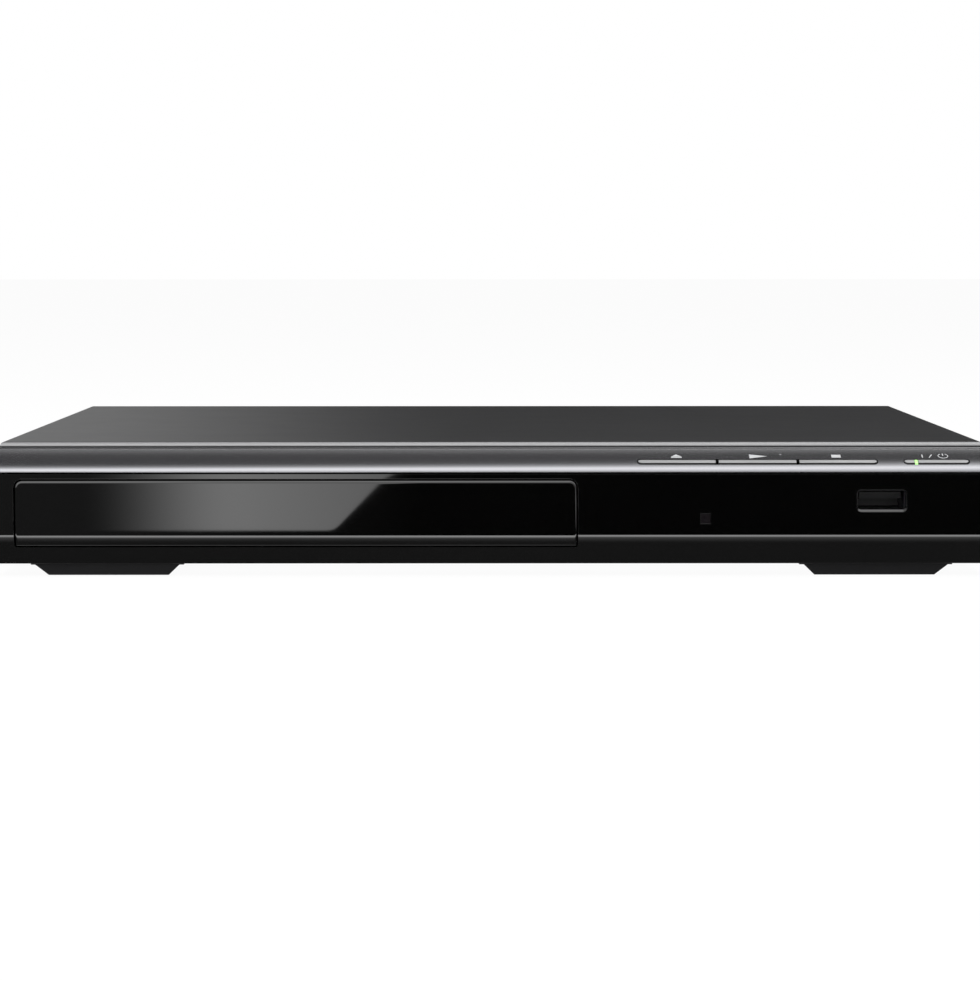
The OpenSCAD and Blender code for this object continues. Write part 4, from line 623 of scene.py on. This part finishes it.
def slab(top, bottom):
    """A closed plate between two grids of points that match, joined round their rims."""
    rows, columns = top.shape[:2]
    index = np.arange(rows * columns).reshape(rows, columns)
    upper = grid_faces(rows, columns)
    lower = [[i + rows * columns for i in quad[::-1]] for quad in upper]
    rim = np.concatenate([index[0], index[1:, -1], index[-1, -2::-1], index[-2:0:-1, 0]])
    walls = np.stack([rim, rim + rows * columns, np.roll(rim, -1) + rows * columns, np.roll(rim, -1)], -1).tolist()
    return np.concatenate([top.reshape(-1, 3), bottom.reshape(-1, 3)]), upper + lower + walls


def new_mesh(name, parts):
    """One mesh from parts of points, in mm, and faces; points that coincide are merged and faces turned outward."""
    starts = np.cumsum([0] + [len(points) for points, _ in parts])
    faces = [[int(i + start) for i in face] for start, (_, part) in zip(starts, parts) for face in part]
    mesh = bpy.data.meshes.new(name)
    mesh.from_pydata((np.concatenate([points for points, _ in parts]) * MM).tolist(), [], faces)
    with opened(mesh) as shape:
        bmesh.ops.remove_doubles(shape, verts=shape.verts, dist=1e-7)
        bmesh.ops.recalc_face_normals(shape, faces=shape.faces)
    return mesh


def depth_inside(x, z, box, tops, lows):
    """How far a point lies inside a rectangle (x0, x1, z0, z1) with upper corners of radius tops, lower of lows."""
    r = np.where(z > (box[2] + box[3]) / 2, tops, lows)
    dx = np.abs(x - (box[0] + box[1]) / 2) - (box[1] - box[0]) / 2 + r
    dz = np.abs(z - (box[2] + box[3]) / 2) - (box[3] - box[2]) / 2 + r
    return r - np.hypot(np.maximum(dx, 0), np.maximum(dz, 0)) - np.minimum(np.maximum(dx, dz), 0)


def skin(z):
    """y of the front panel's skin at height z: upright, then an arc of radius 3.5, then a slope of 23.5 degrees."""
    top, r, slope = 12.278, 3.5, math.radians(23.5)
    arc = FRONT + r - np.sqrt(np.maximum(r * r - np.clip(top - z, 0, r * math.sin(slope)) ** 2, 0))
    return arc + np.maximum(top - r * math.sin(slope) - z, 0) * math.tan(slope)


def door():
    """The tray's door: a plate that follows the front panel's skin, with rounded corners, whose edge turns back in a
    quarter circle of 0.8 mm. Rows run across between the outline's two sides and crowd towards the edges."""
    (x0, x1, z0, z1), tops, lows, turn = DOOR, 2.2, 0.4, 0.8
    # heights of the crowded rows above the bottom and below the top, of the bend, and width of the crowded columns
    foot, head, bend, flank = 1.2, 2.4, 12.4, 2.4
    close = 1 - np.cos(np.linspace(0, np.pi / 2, 15))
    z = np.concatenate([z0 + foot * close[:-1], np.linspace(z0 + foot, bend, 14)[:-1],
                        np.linspace(bend, z1 - head, 5)[:-1], z1 - head * close[::-1]])[:, None]
    r = np.where(z > bend, tops, lows)
    past = np.maximum(np.abs(z - (z0 + z1) / 2) - (z1 - z0) / 2 + r, 0)
    pull = r - np.sqrt(np.maximum(r * r - past ** 2, 0))
    left, right = x0 + pull, x1 - pull
    side = np.linspace(flank, 0, 25)[::-1][None, :-1]
    middle = left + flank + (right - left - 2 * flank) * np.linspace(0, 1, 25)[None, :]
    x = np.concatenate([left + side, middle, right - side[:, ::-1]], 1)
    z = np.broadcast_to(z, x.shape)
    d = np.clip(depth_inside(x, z, DOOR, tops, lows), 0, turn)
    back = turn - np.sqrt(np.maximum(turn ** 2 - (turn - d) ** 2, 0))
    # the door's bend starts 0.15 mm lower than the panel's
    front = np.stack([x, skin(z + 0.15) + back, z], -1)
    rear = np.stack([x, skin(z) + 2.0, z], -1)
    piece = place_piece("door_plate", new_mesh("door_plate", [slab(front, rear)]), FINISH["gloss_black"], "tray", 50)
    flatten(piece)
    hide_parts("tray_door")


def bezel_edges(mesh):
    """Lowers the face's top edge a little, for the dark line under the nose moulding, and draws the opening in round
    the door. Edges round the opening take the whole radius, and the face's top edge hardly any."""
    gap, drawn, lowered = 0.4, 0.2, 0.4
    tops, lows = 2.65, 0.85             # the opening's corner radii
    points = np.zeros(len(mesh.vertices) * 3)
    mesh.vertices.foreach_get("co", points)
    x, y, z = points.reshape(-1, 3).T / MM
    x0, x1, z0, z1 = DOOR
    rim = np.abs(depth_inside(x, z, (x0 - gap, x1 + gap, z0 - gap, z1 + gap), tops, lows)) < 0.08
    front = rim & (np.abs(y - skin(z)) < 0.06)
    # outward direction of the opening's outline at each point
    off = np.stack([x - (x0 + x1) / 2, z - (z0 + z1) / 2])
    half = np.array([[x1 - x0], [z1 - z0]]) / 2 + gap
    out = np.abs(off) - half + np.where(off[1] > 0, tops, lows)
    out = np.where(out.min(0) > 0, out, out == out.max(0))
    out = out / np.linalg.norm(out, axis=0) * np.sign(off)
    top = (z > FACE_TOP - 0.25) & (y < FRONT + 0.1)
    moved = np.stack([x - drawn * rim * out[0], y, z - drawn * rim * out[1] - lowered * top], 1) * MM
    mesh.vertices.foreach_set("co", moved.ravel())
    ends = np.zeros(len(mesh.edges) * 2, np.int32)
    mesh.edges.foreach_get("vertices", ends)
    ends = ends.reshape(-1, 2)
    shape = bmesh.new()
    shape.from_mesh(mesh)
    sharp = np.array([len(e.link_faces) == 2 and e.calc_face_angle(0) > EDGE_TURN for e in shape.edges], float)
    shape.free()
    lower = z < z0 - 0.05
    whole, line = (front & ~lower)[ends].all(1), (top | (front & lower))[ends].all(1)
    return (sharp * np.where(whole, 1.0, np.where(line, 0.2, 0.7))).astype(np.float32)


# ---- nose moulding, keys and their marks ----

def nose_section():
    """The nose's section in rows of (t behind the face, height): the upright rear wall, a small bead along the back
    edge whose front side catches the light from above, and the slope down to the face. With it come the numbers of
    the first and the last row that the slots reach."""
    curve, u = nose_curve()
    outer = np.linspace(NOSE_DEPTH, SLOT_MIDDLE + SLOT_HALF, 18)[:-1]
    slot = SLOT_MIDDLE + SLOT_HALF * np.cos(np.linspace(0, np.pi, 13))
    high = np.concatenate([outer, slot])
    # below the slot the section is nearly upright, so its rows follow the curve's own parameter
    low = np.linspace(np.interp(SLOT_HALF - SLOT_MIDDLE, -curve[:, 0], u), 1, 16)[1:]
    slope = np.concatenate([np.column_stack([high, nose(high)]),
                            np.column_stack([np.interp(low, u, curve[:, 0]), np.interp(low, u, curve[:, 1])])])
    bead = [[12.0, 30.4], [12.0, 34.44], [11.92, 34.54], [11.8, 34.55], [11.72, 34.51], [11.4, nose(11.4) + 0.01],
            [11.3, nose(11.3)]]
    first = len(bead) + len(outer) - 1
    return np.concatenate([bead, slope[1:], [[0.0, FACE_TOP - 0.07]]]), first, first + len(slot) - 1


def nose_columns():
    """The columns of the nose's grid along X, and how each bulges in a slot: -1 at its left end, 1 at its right end."""
    edge, inner = WIDTH / 2, 12
    lines, bulge = [0.08 - edge, 0.6 - edge], [0, 0]
    for first, last in (("eject_button", "stop_button"), ("power_button", "power_button")):
        left, right = KEYS[first][0] - KEY_GAP, KEYS[last][1] + KEY_GAP
        run = np.linspace(lines[-1], left - 1.0, max(4, int((left - lines[-1]) / 6)))[1:]
        lines += [*run, *np.linspace(left + SLOT_HALF, right - SLOT_HALF, inner), right + 1.0]
        bulge += [0] * len(run) + [-1] + [0] * (inner - 2) + [1, 0]
    return np.array(lines + [edge - 0.6, edge - 0.08]), np.array(bulge + [0, 0])


def nose_moulding():
    """The nose's skin: its section swept along X, with two slots whose ends are half round. A column of points at
    each slot end runs straight and bulges by a circle's height inside the slot; cells inside a slot are left out."""
    section, first, last = nose_section()
    lines, bulge = nose_columns()
    band = np.arange(len(section))
    circle = SLOT_HALF * np.sqrt(np.clip(1 - ((section[:, 0] - SLOT_MIDDLE) / SLOT_HALF) ** 2, 0, 1))
    circle = np.where((band >= first) & (band <= last), circle, 0)
    x = lines[None, :] + circle[:, None] * bulge[None, :]
    y, z = np.broadcast_to(FRONT + section[:, :1], x.shape), np.broadcast_to(section[:, 1:], x.shape)
    keep = np.ones((len(section) - 1, len(lines) - 1), bool)
    for start, stop in zip(np.where(bulge == -1)[0], np.where(bulge == 1)[0]):
        keep[first:last, start:stop] = False
    mesh = new_mesh("nose_moulding", [(np.stack([x, y, z], -1).reshape(-1, 3), grid_faces(*x.shape, keep))])
    piece = place_piece("nose_moulding", mesh, FINISH["nose_grey"], "casing", crisp=50)
    with opened(mesh) as shape:
        # the slots' cut edges stay crisp
        for edge in shape.edges:
            edge.smooth = edge.smooth and not edge.is_boundary
    wall = piece.modifiers.new("wall", "SOLIDIFY")
    # thin enough that the keys clear its slanting cut edges
    wall.thickness = 0.6 * MM
    wall.offset = -1.0
    # only the outside is lacquered: the inside and the cut edges are bare black plastic
    piece.data.materials.append(FINISH["black_plastic"])
    wall.material_offset = wall.material_offset_rim = 1
    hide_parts("nose_trim")


def nose_cheeks():
    """The cheeks that close the nose moulding's ends, just under its skin."""
    back, front = NOSE_DEPTH - 0.05, 0.02
    t = np.linspace(back, front, 24)
    profile = np.concatenate([np.column_stack([FRONT + t, nose(t) - 0.01]),
                              [[FRONT + front, FACE_TOP], [FRONT + back, FACE_TOP]]])
    cheeks = []
    for side in (-1, 1):
        x = side * np.array([WIDTH / 2 - NOSE_WALL, WIDTH / 2])
        cheeks.append(lofted(np.stack([np.column_stack([np.full(len(profile), a), profile]) for a in x])))
    sides = place_piece("nose_cheeks", new_mesh("nose_cheeks", cheeks), FINISH["nose_grey"], "casing", crisp=30)


def outline(x0, x1, y0, y1, radii, steps=7):
    """Points round a rectangle with its own corner radius at each end: quarter circles about the four corners."""
    left, right = radii
    angle = np.linspace(0, np.pi / 2, steps)
    corners = [(x1 - right, y1 - right, right, 0), (x0 + left, y1 - left, left, 1),
               (x0 + left, y0 + left, left, 2), (x1 - right, y0 + right, right, 3)]
    arcs = []
    for cx, cy, r, quarter in corners:
        turned = angle + quarter * np.pi / 2
        arcs.append(np.column_stack([cx + r * np.cos(turned), cy + r * np.sin(turned)]))
    return np.concatenate(arcs)


def box_rings(x, y, z):
    """A closed box between ranges, with slightly rounded upright edges."""
    flat = outline(*x, *y, (0.05, 0.05), 2)
    return lofted(np.stack([np.column_stack([flat, np.full(len(flat), level)]) for level in z]))


def rod_rings(x, y, radii, levels, around=40):
    """A turned solid about an upright axis: one radius for each level."""
    angle = np.linspace(0, 2 * np.pi, around, endpoint=False)
    return lofted(np.stack([np.column_stack([x + r * np.cos(angle), y + r * np.sin(angle), np.full(around, z)])
                            for r, z in zip(radii, levels)]))


def key_cap(ends, rounds):
    """A key: an upright bar whose outline has round or square ends, and whose top follows the nose's slope and is
    rounded over by a quarter circle of 0.22 mm."""
    x0, x1 = ends
    y0, y1 = FRONT + KEY_FRONT, FRONT + KEY_BACK
    turn, r = np.linspace(0, np.pi / 2, 6), 0.22
    flat = outline(x0, x1, y0, y1, rounds)
    rings = [np.column_stack([flat, np.full(len(flat), FACE_TOP + 0.85)])]
    for inset, drop in zip(r * (1 - np.cos(turn)), r * (1 - np.sin(turn))):
        flat = outline(x0 + inset, x1 - inset, y0 + inset, y1 - inset, np.maximum(np.array(rounds) - inset, 0.02))
        t = (flat[:, 1] - y0) / (y1 - y0)
        rings.append(np.column_stack([flat, KEY_TOPS[0] + t * (KEY_TOPS[1] - KEY_TOPS[0]) - drop]))
    rings = np.stack(rings)
    # round ends are drawn out lengthways to half ellipses
    for end, radius in zip(ends, rounds):
        off = rings[..., 0] - end
        rings[..., 0] += np.where((np.abs(off) < radius) & (radius > 0.5), 0.6 * off, 0)
    return lofted(rings)


def key_base(ends):
    """Flange under the moulding and plunger over the switch, as the frame's key has."""
    x0, x1 = ends
    flange = box_rings((x0 + 0.6, x1 - 0.6), (FRONT + KEY_FRONT + 0.4, FRONT + 8.5), (FACE_TOP + 0.15, FACE_TOP + 1.35))
    plunger = rod_rings((x0 + x1) / 2, FRONT + 6, (1.6, 1.6), (FACE_TOP - 1.65, FACE_TOP + 0.15), 24)
    return [flange, plunger]


def key_pieces():
    """The four keys; only the outer ends of the row of three are half round, and the power key has a light window."""
    full, square, cut = 0.69, 0.15, 0.03
    rounds = {"eject_button": (full, square), "play_button": (square, square), "stop_button": (square, full)}
    for node, ends in KEYS.items():
        body = node.replace("button", "key")
        if node == "power_button":
            parts = [key_cap((ends[0], LIGHT_WINDOW[0]), (full, cut)), key_cap((LIGHT_WINDOW[1], ends[1]), (cut, full))]
        else:
            parts = [key_cap(ends, rounds[node])]
        mesh = new_mesh(node + "_cap", parts + key_base(ends))
        piece = place_piece(node + "_cap", mesh, FINISH["key_silver"], body, crisp=40)
        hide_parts(node)
    lamp = new_mesh("power_light_window", [key_cap((LIGHT_WINDOW[0] + 0.01, LIGHT_WINDOW[1] - 0.01), (cut, cut))])
    piece = place_piece("power_light_window", lamp, FINISH["light_pipe"], "power_key", 40)
    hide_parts("power_light_pipe")


def printed(x, t):
    """A patch of print: a grid of (x, t) places laid on the nose's slope, as a film that reaches into it a little."""
    lift, depth = 0.025, 0.06
    top = np.stack([x, FRONT + t, nose(t) + lift], -1)
    return slab(top, top - np.array([0, 0, depth]))


def key_marks():
    """The usual marks for eject, play, stop and power, and the raised dot beside play, all in the nose's slope."""
    a, b = np.meshgrid(np.linspace(0, 1, 9), np.linspace(0, 1, 9), indexing="ij")
    turn, wide = np.meshgrid(np.linspace(np.radians(118), np.radians(422), 33), np.linspace(0, 1, 3), indexing="ij")
    radius = 1.2 + 0.22 * wide
    marks = [
        # eject: a triangle over a bar
        (50.1 + (b - 0.5) * 2.9 * (1 - a), 4.75 + 1.5 * a), (50.1 + (b - 0.5) * 2.9, 4.1 + 0.4 * a),
        # play: a triangle that points right
        (69.9 + 4.8 * b, 5.0 + (a - 0.5) * 2.4 * (1 - b)),
        # stop: a square
        (92.2 + 2.5 * b, 4.25 + 1.75 * a),
        # power: a bar, a slash, and a ring with a short bar in its gap
        (116.7 + 0.3 * b, 4.2 + 1.9 * a), (118.5 + 0.3 * b + 0.9 * a, 4.2 + 1.9 * a),
        (122.5 + radius * np.cos(turn), 5.2 + radius * np.sin(turn)), (122.36 + 0.28 * b, 5.35 + 1.3 * a),
    ]
    parts = [printed(x, t) for x, t in marks]
    piece = place_piece("key_marks", new_mesh("key_marks", parts), PRINT, "casing")
    dot_x, dot_t = 78.4, 6.1
    dot = rod_rings(dot_x, FRONT + dot_t, (0.45, 0.42, 0.3, 0.1), nose(dot_t) + np.array([-0.05, 0.1, 0.18, 0.2]), 20)
    piece = place_piece("play_dot", new_mesh("play_dot", [dot]), FINISH["nose_grey"], "casing", 60)


def gap_shade_strip():
    """Painted shade: a black strip that fills the gap between the nose moulding's back edge and the cover, dark where
    the shade falls in that gap.
    """
    across = np.array([[-91.42, 31.0], [-91.42, 34.6], [-91.3, 34.78], [-91.0, 34.84], [-90.7, 34.78], [-90.58, 34.6],
                       [-90.58, 31.0]])
    strip = [np.column_stack([np.full(len(across), x), across]) for x in np.linspace(1 - WIDTH / 2, WIDTH / 2 - 1, 28)]
    piece = place_piece("gap_shade_strip", new_mesh("gap_shade_strip", [lofted(np.stack(strip))]), GAP_SHADE_FINISH, "casing", 60)


def port_rim():
    """The polished rim of the data socket's opening: a frame inside it with a chamfer 0.55 mm wide along its
    lower edge and less than a third of that elsewhere."""
    x, z, w, h, corner = 105.4, 20.8, 13.5, 6.05, 1.2
    rings = []
    for inset, back in ((0.0, 0.9), (0.0, 0.03), (0.03, 0.0), (0.08, 0.01), (0.62, 0.385), (0.64, 0.42), (0.64, 0.9)):
        side = 0.3 * inset
        flat = outline(x - w / 2 + side, x + w / 2 - side, z - h / 2 + inset, z + h / 2 - side,
                       (corner - side, corner - side))
        rings.append(np.column_stack([flat[:, 0], np.full(len(flat), FRONT + back), flat[:, 1]]))
    rings = np.stack(rings)
    # the rings close to a loop, from the last back to the first
    loop = np.arange(rings.shape[0] * rings.shape[1]).reshape(rings.shape[:2])
    loop = np.concatenate([loop, loop[:1]])
    ahead = np.roll(loop, -1, 1)
    faces = np.stack([loop[:-1], ahead[:-1], ahead[1:], loop[1:]], -1).reshape(-1, 4).tolist()
    mesh = new_mesh("data_socket_rim", [(rings.reshape(-1, 3), faces)])
    rim = place_piece("data_socket_rim", mesh, RIM, "casing", 20)


# ---- inside ----

def capacitor_cans():
    """Electrolytic cans: a sleeve with a rolled groove near its foot and a turned-in shoulder, and a bare top."""
    # each board's origin, and its cans' places from there, radii and heights
    boards = {
        (-128.7, 73.4): [(39, 12, 7, 20), (90, 6, 4, 13), (100, 6, 4, 13), (95, 15, 4, 12)],
        (76.0, -31.6): [(-2, 102, 3.2, 8), (20, 100, 3.2, 8), (30, 70, 2.6, 7), (30, 60, 2.6, 7), (-33, 62, 2.6, 7),
                        (30, 20, 3.2, 8)],
    }
    share = np.array([0, 0.02, 0.1, 0.14, 0.18, 0.9, 0.96, 1.0])
    width = np.array([0.95, 1.0, 1.0, 0.93, 1.0, 1.0, 0.97, 0.86])
    sleeves, tops = [], []
    for (left, front), cans in boards.items():
        for x, y, r, h in cans:
            place = left + x, front + y
            top = BOARD_TOP + h + np.array([-0.3, 0.0, 0.05])
            sleeves.append(rod_rings(*place, r * width, BOARD_TOP + h * share, 28))
            tops.append(rod_rings(*place, r * np.array([0.84, 0.84, 0.8]), top, 28))
    piece = place_piece("can_sleeves", new_mesh("can_sleeves", sleeves), FINISH["can_sleeve"], "casing")
    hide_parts("board_capacitors")
    piece = place_piece("can_tops", new_mesh("can_tops", tops), FINISH["bright_steel"], "casing")


def harness_wires():
    """Six insulated wires side by side, each a round tube along the frame's cable line."""
    low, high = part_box("power_harness")
    line = np.array([[-12.7, 0.65], [-8.7, 0.65], [-2.7, 8.0], [20.1, 10.0], [29.1, 9.4], [32.1, 7.5], [32.1, 5.05]])
    line[:, 1] += BOARD_TOP
    # a smooth line through the corners: each stretch is sampled and the whole is averaged three times
    fine = np.concatenate([np.linspace(a, b, 9)[:-1] for a, b in zip(line[:-1], line[1:])] + [line[-1:]])
    for _ in range(3):
        fine[1:-1] = (fine[:-2] + 2 * fine[1:-1] + fine[2:]) / 4
    way = np.gradient(fine, axis=0)
    way /= np.linalg.norm(way, axis=1)[:, None]
    side = np.column_stack([-way[:, 1], way[:, 0]])
    turn = np.linspace(0, 2 * np.pi, 12, endpoint=False)
    radius, margin = 0.58, 0.62
    wires = []
    for y in np.linspace(low.y / MM + margin, high.y / MM - margin, 6):
        ring = fine[:, None, :] + radius * np.cos(turn)[None, :, None] * side[:, None, :]
        depth = np.broadcast_to(y + radius * np.sin(turn)[None, :], ring.shape[:2])
        wires.append(lofted(np.stack([ring[..., 0], depth, ring[..., 1]], -1)))
    piece = place_piece("harness_wires", new_mesh("harness_wires", wires), FINISH["harness_red"], "casing", 60)
    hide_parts("power_harness")


# radius in millimetres to which a solid's edges are rounded; the others stay as they are
RADII = {
    "bottom_chassis": 0.12, "rear_panel": 0.12, "top_cover": 0.1, "cover_screws": 0.15, "front_bezel": 0.18,
    "feet": 0.3, "foot_pads": 0.25, "loader_chassis": 0.2, "clamper_bridge": 0.15, "disc_tray": 0.3,
    "main_board": 0.1, "board_chips": 0.15, "power_board": 0.1, "power_transformer": 0.4,
    "mains_inlet": 0.3, "jack_block": 0.3, "jack_barrels": 0.12, "front_board": 0.1, "switch_bodies": 0.2,
    "power_led": 0.2, "traverse_frame": 0.25, "mechanism_deck": 0.15, "spindle_motor": 0.3, "sled_motor": 0.2,
    "pickup_body": 0.2, "turntable": 0.2, "clamper_disc": 0.3, "clamper_magnet": 0.2, "loading_motor": 0.3,
    "board_screws": 0.2, "objective_lens": 0.25, "inlet_pins": 0.3, "cam_slider": 0.2,
}
# solids that finer pieces replace
MADE_HERE = {"nose_trim", "tray_door", "board_capacitors", "power_harness", "power_light_pipe", *KEYS}

nose_moulding()
nose_cheeks()
door()
key_pieces()
key_marks()
gap_shade_strip()
port_rim()
capacitor_cans()
harness_wires()
for node in sorted(NODES):
    if node not in MADE_HERE:
        refined(node, RADII.get(node, 0.0), bezel_edges if node == "front_bezel" else None)
